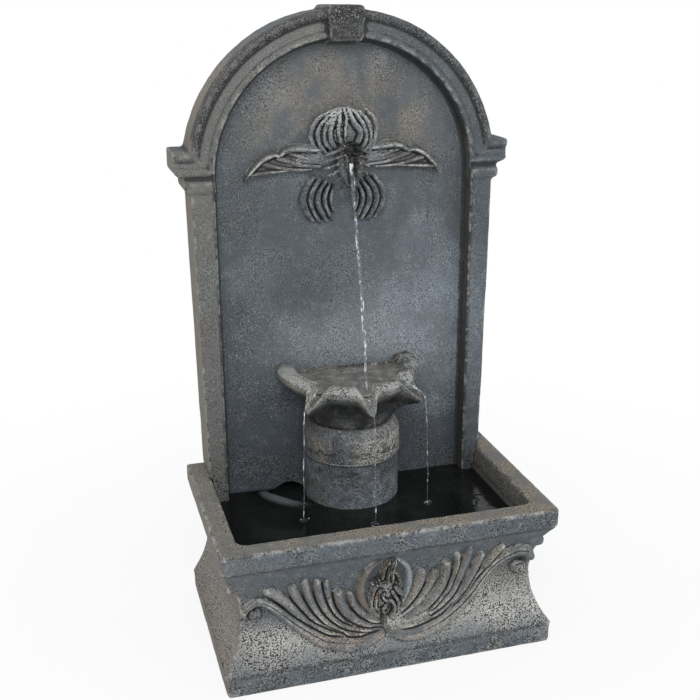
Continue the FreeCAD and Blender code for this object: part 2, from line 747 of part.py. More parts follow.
def back_panel():
    """The arched panel, one casting that is open at the back and stands in the tank."""
    inner = PANEL_OPENING_WIDTH / 2
    foot = PILASTER_FOOT_WIDTH / 2
    head = PILASTER_HEAD_WIDTH / 2
    ring = ARCH_RADIUS - ARCH_BAND
    seat = RIM_TOP + SEAT_GAP
    above = [(-foot, seat), (foot, seat), (head, PILASTER_TOP), (head, SPRING_HEIGHT)]
    above += [(-head, SPRING_HEIGHT), (-head, PILASTER_TOP)]
    body = slab_y(above, PILASTER, REAR)
    low = tank_form(TANK_GAP, TANK_FLOOR, seat)
    beside_tank = block(-head, head, FRONT, REAR + 1, 0, seat).cut(low)
    body = body.fuse(low.common(block(-foot, foot, PILASTER, REAR, TANK_FLOOR, seat)))
    recess = [(-inner, TANK_FLOOR - 1), (inner, TANK_FLOOR - 1), (inner, SPRING_HEIGHT)]
    recess += [((0, SPRING_HEIGHT + inner), (-inner, SPRING_HEIGHT))]
    field = slab_y(recess, FIELD, REAR)
    body = body.cut(slab_y(recess, FRONT, FIELD)).fuse([arch(), field, shoulders(), keystone()])
    body = body.fuse(iris())
    half = TANK_HALF - SIDE_DRAFT - TANK_GAP - PANEL_SKIN
    wide = foot - PANEL_SKIN
    shell = ARCH_RADIUS - PANEL_SKIN - 3.0
    hollow = [(-half, TANK_FLOOR - 1), (half, TANK_FLOOR - 1), (half, RIM_TOP - 14), (wide, RIM_TOP)]
    hollow += [(shell, SPRING_HEIGHT), ((0, SPRING_HEIGHT + shell), (-shell, SPRING_HEIGHT))]
    hollow += [(-wide, RIM_TOP), (-half, RIM_TOP - 14)]
    cuts = [beside_tank, slab_y(hollow, PLATE_BACK, REAR + 1)]
    leg = LEG_INNER_WIDTH / 2
    cuts.append(block(-leg, leg, FRONT, REAR, TANK_FLOOR - 1, CURTAIN_FOOT))
    half = NOTCH_WIDTH / 2
    notch = [(NOTCH_MIDDLE - half, CURTAIN_FOOT - 1), (NOTCH_MIDDLE + half, CURTAIN_FOOT - 1)]
    notch += [(NOTCH_MIDDLE + half, CURTAIN_FOOT)]
    notch += [((NOTCH_MIDDLE, NOTCH_TOP), (NOTCH_MIDDLE - half, CURTAIN_FOOT))]
    cuts.append(slab_y(notch, FRONT, REAR))
    body = body.cut(cuts)
    boss_end = foot_boss_end()
    bosses = []
    for x in (-FOOT_BOLT_X, FOOT_BOLT_X):
        bosses.append(rod_y(BOSS_RADIUS, x, FOOT_BOLT_Z, FIELD + 1, boss_end))
    body = body.fuse(bosses)
    holes = []
    for x in (-FOOT_BOLT_X, FOOT_BOLT_X):
        start = boss_end - INSERT_LENGTH - 3.0
        holes.append(rod_y(INSERT_RADIUS + INSERT_GAP, x, FOOT_BOLT_Z, start, REAR))
    for x, z in ((BOWL_BOLT_X, BOWL_BOLT_Z), (DRUM_BOLT_X, DRUM_BOLT_Z)):
        for side in (-x, x):
            holes.append(rod_y(BOLT_RADIUS + BOLT_CLEARANCE, side, z, FIELD - 1, PLATE_BACK + 1))
    mouth = FIELD - SPOUT_REACH
    holes.append(rod_y(SPOUT_RADIUS + ELBOW_GAP, 0, SPOUT_HEIGHT, mouth, PLATE_BACK + 1))
    holes.append(rod_y(MOUTH_RADIUS, 0, SPOUT_HEIGHT, FIELD - 2 * LIP_REACH, mouth))
    return body.cut(holes)


def pedestal():
    """The half drum: a plain lower drum, an overhanging collar and a seat for the bowl."""
    bore = DRUM_RADIUS - DRUM_WALL
    collar = DRUM_RADIUS + COLLAR_OVERHANG
    section = [
        (bore, TANK_FLOOR),
        (DRUM_RADIUS, TANK_FLOOR),
        (DRUM_RADIUS, COLLAR_FOOT),
        (collar, COLLAR_FOOT + 1.5),
        (collar - 1.0, COLLAR_SHOULDER),
    ]
    waist = (collar - 3.0, COLLAR_SHOULDER + 12.0)
    section += strips(section[-1], waist, (NECK_RADIUS, PEDESTAL_TOP), 4)
    section += [
        (PEDESTAL_BORE, PEDESTAL_TOP),
        (PEDESTAL_BORE, PEDESTAL_TOP - DRUM_WALL),
        (bore, COLLAR_SHOULDER - DRUM_WALL),
    ]
    drum = turned(section, Vector(0, DRUM_Y, 0), Vector(0, 0, 1))
    bosses = []
    for x in (-DRUM_BOLT_X, DRUM_BOLT_X):
        bosses.append(rod_y(DRUM_BOSS_RADIUS, x, DRUM_BOLT_Z, FIELD - INSERT_LENGTH - 4, FIELD + 1))
    drum = drum.fuse(bosses)
    wide = collar + 10
    cuts = [block(-wide, wide, FIELD, FIELD + wide, 0, PEDESTAL_TOP + 10)]
    spring = ARCH_CROWN - ARCH_HALF_WIDTH
    middle = DRUM_Y - ARCH_FROM_AXIS
    tunnel = [
        (middle - ARCH_HALF_WIDTH, TANK_FLOOR - 1),
        (middle + ARCH_HALF_WIDTH, TANK_FLOOR - 1),
        (middle + ARCH_HALF_WIDTH, spring),
        ((middle, ARCH_CROWN), (middle - ARCH_HALF_WIDTH, spring)),
    ]
    cuts.append(slab_x(tunnel, -wide, wide))
    for x in (-DRUM_BOLT_X, DRUM_BOLT_X):
        cuts.append(rod_y(INSERT_RADIUS + INSERT_GAP, x, DRUM_BOLT_Z, FIELD - INSERT_LENGTH, FIELD + 1))
    return drum.cut(cuts)


def lip_share(turn):
    """How much of a lip the bowl's rim has at an angle from the front, from 0 to 1."""
    nearest = min(abs(turn - k * LIP_ANGLE) for k in (-1, 0, 1))
    return math.cos(min(nearest / LIP_SPREAD, 1.0) * math.pi / 2) ** 2


def bowl_section(turn):
    """One upright section of the bowl's wall, at an angle from the front."""
    lip = lip_share(turn)
    beyond = max(abs(turn) - LIP_ANGLE, 0.0) / LIP_ANGLE
    spread = BOWL_SIDE_SPREAD * min(beyond, 1.0)
    lift = BOWL_SIDE_LIFT * min(beyond, 1.0)
    rim = BOWL_RIM_RADIUS + spread
    under = (rim - 9 + 25 * lip, BOWL_UNDERSIDE + lift - 15 * lip)
    nose = (rim + LIP_LENGTH * lip, BOWL_UNDERSIDE + lift + 10 - 20 * lip)
    top = (rim - 9 + 29 * lip, BOWL_RIM_TOP + lift - LIP_DROP * lip)
    inside = (rim - 24 + 19 * lip, BOWL_RIM_TOP + lift - 3 - 12 * lip)
    foot = (BOWL_FOOT_RADIUS, PEDESTAL_TOP)
    floor = (BOWL_HUB, BOWL_FLOOR)
    cavetto = ((foot[0] + under[0]) / 2 - 5, (foot[1] + under[1]) / 2 + 5)
    wall = ((inside[0] + floor[0]) / 2 + 3, (inside[1] + floor[1]) / 2 - 3)
    points = [(BOWL_HUB, PEDESTAL_TOP), foot]
    points += strips(foot, cavetto, under, 3)
    points += strips(under, nose, top, 3)
    points += [inside]
    points += strips(inside, wall, floor, 3)
    a = math.radians(turn - 90)
    return [Vector(r * math.cos(a), DRUM_Y + r * math.sin(a), z) for r, z in points]


def catch_bowl():
    """The bowl: sections round its axis, with three drooping lips, cut flat against the panel."""
    turns = [0.0]
    while turns[-1] < BOWL_END_ANGLE:
        fine = lip_share(turns[-1] + 2.0) + lip_share(turns[-1] + 5.0) > 0
        turns.append(turns[-1] + (LIP_SPREAD / 3 if fine else LIP_SPREAD))
    turns = [-t for t in turns[:0:-1]] + turns
    shell = skin([bowl_section(t) for t in turns], False)
    hub = rod(BOWL_HUB + 0.5, (0, DRUM_Y, PEDESTAL_TOP), (0, DRUM_Y, BOWL_FLOOR))
    back = FIELD - GASKET_THICKNESS
    bowl = shell.fuse(hub)
    wall = slab_y(bowl_back(), back - BOWL_BACK_WALL, back)
    wide = BOWL_RIM_RADIUS * 2
    bowl = bowl.fuse(wall)
    cuts = [block(-wide, wide, back, back + wide, 0, RIM_TOP * 3)]
    cuts.append(rod(BOWL_RECESS, (0, DRUM_Y, PEDESTAL_TOP), (0, DRUM_Y, BOWL_FLOOR - BOWL_BASE)))
    for x in (-BOWL_BOLT_X, BOWL_BOLT_X):
        cuts.append(rod_y(INSERT_RADIUS + INSERT_GAP, x, BOWL_BOLT_Z, back - INSERT_LENGTH, back + 1))
    return bowl.cut(cuts)


def bowl_back():
    """The outline of the bowl's low rear wall, below the water."""
    half = math.sqrt(BOWL_FOOT_RADIUS ** 2 - DRUM_AXIS_FROM_FIELD ** 2) - 2.0
    low = PEDESTAL_TOP + 4
    return [(-half, low), (half, low), (half + 34, BOWL_WALL_TOP), (-half - 34, BOWL_WALL_TOP)]


def bowl_gasket():
    """The soft sheet that seals the bowl's back to the panel."""
    sheet = slab_y(bowl_back(), FIELD - GASKET_THICKNESS, FIELD)
    holes = []
    for x in (-BOWL_BOLT_X, BOWL_BOLT_X):
        holes.append(rod_y(BOLT_RADIUS + BOLT_CLEARANCE, x, BOWL_BOLT_Z, FIELD - 5, FIELD + 5))
    return sheet.cut(holes)


def bolt_places():
    """Each fixing as (x, z, the plane its washer sits on, the end of its insert)."""
    places = []
    for x in (-FOOT_BOLT_X, FOOT_BOLT_X):
        places.append((x, FOOT_BOLT_Z, REAR - COUNTERBORE_DEPTH, foot_boss_end()))
    for x in (-BOWL_BOLT_X, BOWL_BOLT_X):
        places.append((x, BOWL_BOLT_Z, PLATE_BACK, FIELD - GASKET_THICKNESS))
    for x in (-DRUM_BOLT_X, DRUM_BOLT_X):
        places.append((x, DRUM_BOLT_Z, PLATE_BACK, FIELD))
    return places


def foot_boss_end():
    """The plane where the panel's lower bosses meet the basin's rear wall."""
    drop = (RIM_TOP - FOOT_BOLT_Z + BOSS_RADIUS) / (RIM_TOP - TANK_FLOOR)
    return REAR_WALL_FACE - REAR_DRAFT * drop - SEAT_GAP * 0.5


def hexagon(flats, x, z, y0, y1):
    """A hexagonal bar along y."""
    radius = flats / math.sqrt(3)
    turns = [math.radians(60 * i) for i in range(6)]
    return slab_y([(x + radius * math.cos(a), z + radius * math.sin(a)) for a in turns], y0, y1)


def fixing_bolts():
    """The six hexagon bolts that hold the castings together, put in from behind."""
    bolts = []
    for x, z, seat, _ in bolt_places():
        under = seat + WASHER_THICKNESS
        shank = rod_y(BOLT_RADIUS, x, z, under - BOLT_LENGTH, under + 1)
        bolts.append(shank.fuse(hexagon(BOLT_HEAD_FLATS, x, z, under, under + BOLT_HEAD_HEIGHT)))
    return Part.makeCompound(bolts)


def fixing_washers():
    """A washer under each bolt head."""
    rings = []
    for x, z, seat, _ in bolt_places():
        ring = rod_y(WASHER_RADIUS, x, z, seat, seat + WASHER_THICKNESS)
        rings.append(ring.cut(rod_y(BOLT_RADIUS + BOLT_CLEARANCE, x, z, seat - 1, seat + 3)))
    return Part.makeCompound(rings)


def threaded_inserts():
    """The moulded-in insert that each bolt screws into."""
    sleeves = []
    for x, z, _, end in bolt_places():
        sleeve = rod_y(INSERT_RADIUS, x, z, end - INSERT_LENGTH, end)
        sleeves.append(sleeve.cut(rod_y(INSERT_BORE, x, z, end - INSERT_LENGTH - 1, end + 1)))
    return Part.makeCompound(sleeves)


def rear_face(z):
    """The plane of the tank's rear wall, inside, at height z."""
    return REAR_WALL_FACE - REAR_DRAFT * (RIM_TOP - z) / (RIM_TOP - TANK_FLOOR)


def cord_grommet():
    """A rubber ring in the basin's rear wall, for the pump's cord."""
    seat = REAR - COUNTERBORE_DEPTH
    inside = rear_face(CORD_Z - CORD_HOLE_RADIUS) - SEAT_GAP
    start = inside - GROMMET_LIP
    end = seat + GROMMET_LIP
    wide = CORD_HOLE_RADIUS + GROMMET_LIP
    sleeve = rod_y(CORD_HOLE_RADIUS - SEAT_GAP, CORD_X, CORD_Z, start, end)
    front = rod_y(wide, CORD_X, CORD_Z, start, inside)
    back = rod_y(wide, CORD_X, CORD_Z, seat, end)
    bore = Part.makeCylinder(
        CORD_RADIUS + CORD_FIT, REAR - start + 1, Vector(CORD_X, start - 1, CORD_Z), Vector(0, 1, 0)
    )
    return sleeve.fuse([front, back]).cut(bore)


def tube_points():
    """The water tube's route: out of the drum, under the panel's edge and up behind it."""
    left = NOTCH_MIDDLE
    return [
        Vector(NOZZLE_X, NOZZLE_Y, TUBE_START),
        Vector(NOZZLE_X, NOZZLE_Y, TUBE_LEVEL),
        Vector(left + 23, DRUM_Y - ARCH_FROM_AXIS, TUBE_LEVEL),
        Vector(left - 18, FIELD - 20, TUBE_LEVEL),
        Vector(left - 43, TUBE_Y, TUBE_LEVEL),
        Vector(left - 45, TUBE_Y, TUBE_LEVEL + 86),
        Vector(left - 27, TUBE_Y, TUBE_LEVEL + 206),
        Vector(left + 23, TUBE_Y, TUBE_END - 156),
        Vector(0, TUBE_Y, TUBE_END - 64),
        Vector(0, TUBE_Y, TUBE_END),
    ]


def rounded_path(points, share):
    """Points along straight runs and tangent arcs, each arc as large as its two runs allow."""
    spots = [points[0]]
    for i in range(1, len(points) - 1):
        before = points[i - 1] - points[i]
        after = points[i + 1] - points[i]
        reach = share * min(before.Length, after.Length)
        turn = math.pi - before.getAngle(after)
        radius = reach / math.tan(turn / 2)
        print("tube arc", i, "radius", round(radius, 1), "turn", round(math.degrees(turn)))
        before.normalize()
        after.normalize()
        start = points[i] + before * reach
        end = points[i] + after * reach
        inward = (before + after).normalize()
        middle = points[i] + inward * (radius / math.cos(turn / 2) - radius)
        steps = math.ceil(math.degrees(turn) / TUBE_STEP)
        spots += Part.Arc(start, middle, end).toShape().discretize(steps + 1)
    return spots + [points[-1]]


def pipe(spots, radius):
    """A solid through points, of TUBE_SIDES flats inside a circle, mitred where it turns."""
    run = (spots[1] - spots[0]).normalize()
    across = run.cross(Vector(0, 1, 0)).normalize() * radius
    ring = []
    for i in range(TUBE_SIDES):
        ring.append(spots[0] + FreeCAD.Rotation(run, 360.0 / TUBE_SIDES * i).multVec(across))
    rows = [ring]
    for i in range(1, len(spots)):
        run = (spots[i] - spots[i - 1]).normalize()
        after = (spots[i + 1] - spots[i]).normalize() if i + 1 < len(spots) else run
        mitre = (run + after).normalize()
        ring = [p + run * ((spots[i] - p).dot(mitre) / run.dot(mitre)) for p in ring]
        rows.append(ring)
    return skin(rows, False)


def water_tube():
    """The clear tube from the pump to the spout."""
    path = rounded_path(tube_points(), 0.45)
    tube = pipe(path, TUBE_RADIUS).cut(pipe(path, TUBE_BORE))
    length = sum(path[i].distanceToPoint(path[i - 1]) for i in range(1, len(path)))
    section = math.sin(2 * math.pi / TUBE_SIDES) * TUBE_SIDES / 2 * (TUBE_RADIUS ** 2 - TUBE_BORE ** 2)
    share = tube.Volume / (section * length)
    print("tube length", round(length), "volume over section times length", round(share, 4))
    return tube


def clip_place(first):
    """The middle of a tube run and its lean from upright."""
    points = tube_points()
    a, b = points[first], points[first + 1]
    return (a + b) * 0.5, math.degrees(math.atan2(b.x - a.x, b.z - a.z))


def tube_clips():
    """Snap clips on the panel's back that hold the tube."""
    clips = []
    for first in (5, 6):
        spot, lean = clip_place(first)
        half = CLIP_WIDTH / 2
        inner = TUBE_RADIUS + SEAT_GAP * 0.5
        outer = inner + CLIP_WALL
        seat = PLATE_BACK - TUBE_Y
        ring = rod(outer, (0, 0, -half), (0, 0, half))
        post = block(-CLIP_WALL * 1.5, CLIP_WALL * 1.5, seat, 0, -half, half)
        foot = block(-CLIP_FOOT / 2, CLIP_FOOT / 2, seat, seat + CLIP_WALL, -half, half)
        clip = ring.fuse([post, foot])
        clip = clip.cut([round_hole(inner, (0, 0, -half - 1), (0, 0, half + 1))])
        clip = clip.cut(block(-inner * 0.7, inner * 0.7, 0, outer + 1, -half - 1, half + 1))
        clip.rotate(Vector(0, 0, 0), Vector(0, 1, 0), lean)
        clip.translate(spot)
        clips.append(clip)
    return Part.makeCompound(clips)


def hose_clamps():
    """A worm-drive clamp on each end of the tube."""
    clamps = []
    for x, y, z in ((NOZZLE_X, NOZZLE_Y, TUBE_START + 2), (0, TUBE_Y, TUBE_END - 4 - CLAMP_WIDTH)):
        inner = TUBE_RADIUS + ELBOW_GAP
        ring = rod(inner + CLAMP_THICKNESS, (x, y, z), (x, y, z + CLAMP_WIDTH))
        reach = inner + CLAMP_THICKNESS * 0.5
        worm = block(x + reach, x + reach + 5.0, y - 5.0, y + 5.0, z, z + CLAMP_WIDTH)
        screw = rod_y(2.6, x + reach + 2.6, z + CLAMP_WIDTH / 2, y - 8.0, y + 6.5)
        ring = ring.fuse([worm, screw])
        clamps.append(ring.cut(round_hole(inner, (x, y, z - 1), (x, y, z + CLAMP_WIDTH + 1))))
    return Part.makeCompound(clamps)


def spout_pipe():
    """The short brass pipe in the iris's mouth."""
    start = FIELD - SPOUT_REACH
    end = TUBE_Y - 3.0
    pipe_bore = rod_y(SPOUT_BORE, 0, SPOUT_HEIGHT, start - 1, end + 1)
    return rod_y(SPOUT_RADIUS, 0, SPOUT_HEIGHT, start, end).cut(pipe_bore)


def spout_elbow():
    """The barbed elbow that joins the tube to the spout pipe."""
    low, high = SPOUT_HEIGHT - ELBOW_RADIUS, SPOUT_HEIGHT + ELBOW_RADIUS
    body = rod(ELBOW_RADIUS + 0.6, (0, TUBE_Y, low), (0, TUBE_Y, high))
    socket = rod_y(ELBOW_RADIUS, 0, SPOUT_HEIGHT, PLATE_BACK + SEAT_GAP, TUBE_Y)
    neck = rod(ELBOW_RADIUS - 1.0, (0, TUBE_Y, TUBE_END + SEAT_GAP), (0, TUBE_Y, SPOUT_HEIGHT))
    barb = rod(NOZZLE_RADIUS, (0, TUBE_Y, TUBE_END - 16.0), (0, TUBE_Y, SPOUT_HEIGHT))
    body = body.fuse([socket, neck, barb])
    pocket = rod_y(SPOUT_RADIUS + ELBOW_GAP, 0, SPOUT_HEIGHT, PLATE_BACK, TUBE_Y - 2.8)
    level = rod_y(NOZZLE_BORE, 0, SPOUT_HEIGHT, PLATE_BACK, TUBE_Y)
    upright = rod(NOZZLE_BORE, (0, TUBE_Y, TUBE_END - 17.0), (0, TUBE_Y, SPOUT_HEIGHT))
    return body.cut([pocket, level, upright])


def pump_housing():
    """The pump's motor case, with the rotor's well in its front wall."""
    half = PUMP_WIDTH / 2
    case = block(-half, half, PUMP_FRONT, PUMP_REAR, PUMP_FLOOR, PUMP_TOP)
    case = case.makeFillet(PUMP_CORNER, [e for e in case.Edges if is_along_y(e)])
    w = PUMP_WALL
    inside = block(w - half, half - w, PUMP_FRONT + w, PUMP_REAR + 1, PUMP_FLOOR + w, PUMP_TOP - w)
    inside = inside.makeFillet(PUMP_CORNER - w, [e for e in inside.Edges if is_along_y(e)])
    bore = ROTOR_RADIUS + ROTOR_GAP
    end = sleeve_end()
    sleeve = shaft_rod(bore + SLEEVE_WALL, PUMP_FRONT + 1, end)
    well = shaft_rod(bore, PUMP_FRONT - 1, end - SLEEVE_WALL)
    cup = shaft_rod(BUSH_RADIUS + SLEEVE_WALL, end - 1, end + BUSH_LENGTH)
    seat = shaft_rod(BUSH_RADIUS + ELBOW_GAP, end - SLEEVE_WALL - 1, end + BUSH_LENGTH - 1)
    low = PUMP_TOP - w - 1
    inlet = rod(GLAND_NECK + ELBOW_GAP, (GLAND_X, gland_y(), low), (GLAND_X, gland_y(), PUMP_TOP + 1))
    return case.cut(inside).fuse([sleeve, cup]).cut([well, seat, inlet])


def shaft_rod(radius, y0, y1):
    """A round rod on the pump shaft's line."""
    return rod_y(radius, 0, SHAFT_Z, y0, y1)


def is_along_y(edge):
    """Whether a straight edge runs front to back."""
    a, b = [v.Point for v in edge.Vertexes]
    return abs(a.x - b.x) < 0.01 and abs(a.z - b.z) < 0.01


def sleeve_end():
    """The rear face of the rotor's well."""
    return PUMP_FRONT + ROTOR_LENGTH + 4.0


def gland_y():
    """The cord gland's place along the pump."""
    return PUMP_REAR - 9.0


def pump_end_cap():
    """The plate that closes the motor case at the rear."""
    half = PUMP_WIDTH / 2
    plate = block(-half, half, PUMP_REAR, PUMP_REAR + PUMP_WALL, PUMP_FLOOR, PUMP_TOP)
    plate = plate.makeFillet(PUMP_CORNER, [e for e in plate.Edges if is_along_y(e)])
    gap = PUMP_WALL + ELBOW_GAP
    plug = block(gap - half, half - gap, PUMP_REAR - 2.0, PUMP_REAR + 1, PUMP_FLOOR + gap, PUMP_TOP - gap)
    plug = plug.makeFillet(PUMP_CORNER - PUMP_WALL, [e for e in plug.Edges if is_along_y(e)])
    return plate.fuse(plug)


def pump_cover():
    """The volute: a flange, a round chamber with a spider inlet, and the outlet nozzle."""
    half = PUMP_WIDTH / 2 - 2.0
    flange = block(-half, half, PUMP_FRONT - FLANGE, PUMP_FRONT, SHAFT_Z - half, SHAFT_Z + half)
    flange = flange.makeFillet(PUMP_CORNER - 1, [e for e in flange.Edges if is_along_y(e)])
    can = shaft_rod(VOLUTE_RADIUS, VOLUTE_FRONT, PUMP_FRONT)
    low = (NOZZLE_X, NOZZLE_Y, SHAFT_Z + 6.0)
    nozzle = rod(NOZZLE_RADIUS, low, (NOZZLE_X, NOZZLE_Y, NOZZLE_TOP))
    root = rod(NOZZLE_RADIUS + 1.2, low, (NOZZLE_X, NOZZLE_Y, TUBE_START - 1.0))
    body = flange.fuse([can, nozzle, root])
    wall = PUMP_WALL
    chamber = shaft_rod(VOLUTE_RADIUS - wall, VOLUTE_FRONT + wall, PUMP_FRONT + 1)
    bore = rod(NOZZLE_BORE, low, (NOZZLE_X, NOZZLE_Y, NOZZLE_TOP + 1))
    inlet = shaft_rod(INLET_RADIUS, VOLUTE_FRONT - 1, VOLUTE_FRONT + wall + 1)
    body = body.cut([chamber, bore, inlet])
    arm = block(-0.8, 0.8, VOLUTE_FRONT, VOLUTE_FRONT + wall, SHAFT_Z, SHAFT_Z + INLET_RADIUS + 1)
    arms = []
    for i in range(3):
        one = arm.copy()
        one.rotate(Vector(0, 0, SHAFT_Z), Vector(0, 1, 0), 120 * i + 60)
        arms.append(one)
    arms.append(shaft_rod(BUSH_RADIUS + 1.2, VOLUTE_FRONT, VOLUTE_FRONT + BUSH_LENGTH))
    body = body.fuse(arms)
    seat = shaft_rod(BUSH_RADIUS + ELBOW_GAP, VOLUTE_FRONT + 1.0, VOLUTE_FRONT + BUSH_LENGTH + 1)
    groove = seal_ring(ELBOW_GAP, PUMP_FRONT + 1)
    return body.cut([seat, groove])


def seal_ring(gap, end):
    """A square ring about the shaft's line, in front of the motor case."""
    outer = shaft_rod(SEAL_RADIUS + SEAL_SECTION + gap, PUMP_FRONT - 2 * SEAL_SECTION, end)
    return outer.cut(shaft_rod(SEAL_RADIUS - SEAL_SECTION - gap, PUMP_FRONT - 2 * FLANGE, end + 1))


def cover_seal():
    """The square-section sealing ring between the pump cover and the motor case."""
    return seal_ring(0.0, PUMP_FRONT)


def impeller():
    """The impeller with its stem, which carries the magnet."""
    plate_y = PUMP_FRONT - 4.0
    plate = shaft_rod(IMPELLER_RADIUS, plate_y, plate_y + IMPELLER_PLATE)
    front = plate_y - BLADE_HEIGHT
    hub = shaft_rod(STEM_RADIUS, front, magnet_start() + ROTOR_LENGTH)
    collar = shaft_rod(STEM_RADIUS + 1.5, plate_y, magnet_start())
    half = BLADE_THICKNESS / 2
    root = SHAFT_Z + STEM_RADIUS - 0.5
    blade = block(-half, half, front, plate_y + 0.5, root, SHAFT_Z + IMPELLER_RADIUS - 0.3)
    blades = []
    for i in range(IMPELLER_BLADES):
        one = blade.copy()
        one.rotate(Vector(0, 0, SHAFT_Z), Vector(0, 1, 0), 360.0 / IMPELLER_BLADES * i)
        blades.append(one)
    body = plate.fuse([hub, collar] + blades)
    return body.cut(shaft_rod(SHAFT_RADIUS + SHAFT_FIT, front - 1, PUMP_REAR))


def magnet_start():
    """The front face of the rotor magnet."""
    return PUMP_FRONT + 1.0


def rotor_magnet():
    """The ring magnet on the impeller's stem."""
    start = magnet_start()
    end = start + ROTOR_LENGTH
    return shaft_rod(ROTOR_RADIUS, start, end).cut(shaft_rod(STEM_RADIUS, start - 1, end + 1))


def impeller_shaft():
    """The fixed ceramic shaft, held in a bush at each end."""
    return shaft_rod(SHAFT_RADIUS, VOLUTE_FRONT + 1.5, sleeve_end() + BUSH_LENGTH - 1.5)


def shaft_bushes():
    """The two rubber bushes that carry the shaft's ends."""
    bushes = []
    for start, end in (
        (VOLUTE_FRONT + 1.0, VOLUTE_FRONT + BUSH_LENGTH),
        (sleeve_end() - SLEEVE_WALL, sleeve_end() + BUSH_LENGTH - 1.0),
    ):
        bore = shaft_rod(SHAFT_RADIUS + SHAFT_FIT, VOLUTE_FRONT + 1.4, sleeve_end() + BUSH_LENGTH - 1.4)
        bushes.append(shaft_rod(BUSH_RADIUS, start, end).cut(bore))
    return Part.makeCompound(bushes)


def stator_core():
    """The laminated U-shaped core, whose legs reach past the rotor's well."""
    wide = ROTOR_RADIUS + ROTOR_GAP + SLEEVE_WALL + CORE_LEG
    low, high = SHAFT_Z - CORE_STACK / 2, SHAFT_Z + CORE_STACK / 2
    start = PUMP_FRONT + PUMP_WALL + 1.5
    end = PUMP_REAR - 5.0
    inner = wide - CORE_LEG - 2.0
    body = block(-wide, wide, start, end, low, high)
    body = body.cut(block(-inner, inner, start - 1, end - CORE_LEG, low - 1, high + 1))
    well = ROTOR_RADIUS + ROTOR_GAP + SLEEVE_WALL + ELBOW_GAP
    return body.cut(shaft_rod(well, start - 1, sleeve_end() + 1))


def stator_coil():
    """The winding on the core's yoke."""
    end = PUMP_REAR - 5.0
    half = ROTOR_RADIUS - 1.0
    low, high = SHAFT_Z - CORE_STACK / 2, SHAFT_Z + CORE_STACK / 2
    coil = block(-half, half, end - CORE_LEG - 4.0, end + 2.5, low - 4.5, high + 4.5)
    coil = coil.makeFillet(2.5, [e for e in coil.Edges if is_along_x(e)])
    gap = ELBOW_GAP
    return coil.cut(block(-half - 1, half + 1, end - CORE_LEG - gap, end + gap, low - gap, high + gap))


def is_along_x(edge):
    """Whether a straight edge runs from side to side."""
    a, b = [v.Point for v in edge.Vertexes]
    return abs(a.y - b.y) < 0.01 and abs(a.z - b.z) < 0.01


def strainer():
    """The slotted cage that snaps over the pump cover."""
    half = PUMP_WIDTH / 2 - 2.0
    rear = PUMP_FRONT - FLANGE - STRAINER_FIT
    cage = block(-half, half, STRAINER_FRONT, rear, SHAFT_Z - half, SHAFT_Z + half)
    cage = cage.makeFillet(PUMP_CORNER - 1, [e for e in cage.Edges if is_along_y(e)])
    w = STRAINER_WALL
    hollow = block(w - half, half - w, STRAINER_FRONT + w, rear + 1, SHAFT_Z - half + w, SHAFT_Z + half - w)
    hollow = hollow.makeFillet(PUMP_CORNER - 1 - w, [e for e in hollow.Edges if is_along_y(e)])
    cuts = [hollow]
    pitch = STRAINER_SLOT * 2
    front = STRAINER_FRONT
    low, high = SHAFT_Z - half * 0.6, SHAFT_Z + half * 0.6
    for i in (-3, 3):
        x = i * pitch
        cuts.append(block(x - STRAINER_SLOT / 2, x + STRAINER_SLOT / 2, front - 1, front + w + 1, low, high))
    for i in range(2):
        y = front + w + 2.5 + i * pitch
        cuts.append(block(-half - 1, half + 1, y, y + STRAINER_SLOT, low, high))
    for x in (-DIAL_PORT_X, DIAL_PORT_X):
        cuts.append(rod_y(DIAL_PORT_RADIUS, x, SHAFT_Z, front - 1, front + w + 1))
    side = NOZZLE_RADIUS + 2.0
    above = SHAFT_Z + half + 1
    cuts.append(block(NOZZLE_X - side, NOZZLE_X + side, NOZZLE_Y - side, rear + 1, SHAFT_Z, above))
    cuts.append(shaft_rod(DIAL_PIVOT + DIAL_FIT, front - 1, front + w + 1))
    return cage.cut(cuts)


def flow_dial():
    """The small dial on the strainer. Its two ports pass over the strainer's when it is turned."""
    front = STRAINER_FRONT
    face = front - DIAL_THICKNESS - SEAT_GAP
    inner = front + STRAINER_WALL
    disc = shaft_rod(DIAL_RADIUS, face, front - SEAT_GAP)
    pivot = shaft_rod(DIAL_PIVOT, front - 1, inner + SEAT_GAP)
    catch = shaft_rod(DIAL_PIVOT + 1.0, inner + SEAT_GAP, inner + 1.5)
    low, high = SHAFT_Z - DIAL_RADIUS * 0.8, SHAFT_Z + DIAL_RADIUS * 0.8
    grip = block(-1.2, 1.2, face - 1.6, face + 0.5, low, high)
    ports = []
    for x in (-DIAL_PORT_X, DIAL_PORT_X):
        ports.append(rod_y(DIAL_PORT_RADIUS, x, SHAFT_Z, face - 1, front))
    return disc.fuse([pivot, catch, grip]).cut(ports)


def suction_cups():
    """Four rubber cups under the pump."""
    cups = []
    section = [
        (0.0, TANK_FLOOR + 2.0),
        (CUP_RADIUS - 0.8, TANK_FLOOR),
        (CUP_RADIUS, TANK_FLOOR),
        (CUP_RADIUS * 0.45, TANK_FLOOR + 3.0),
        (CUP_RADIUS * 0.45, PUMP_FLOOR),
        (0.0, PUMP_FLOOR),
    ]
    middle = (PUMP_FRONT + PUMP_REAR) / 2
    for x in (-CUP_SPACING_X / 2, CUP_SPACING_X / 2):
        for y in (middle - CUP_SPACING_Y / 2, middle + CUP_SPACING_Y / 2):
            cups.append(turned(section, Vector(x, y, 0), Vector(0, 0, 1)))
    return Part.makeCompound(cups)


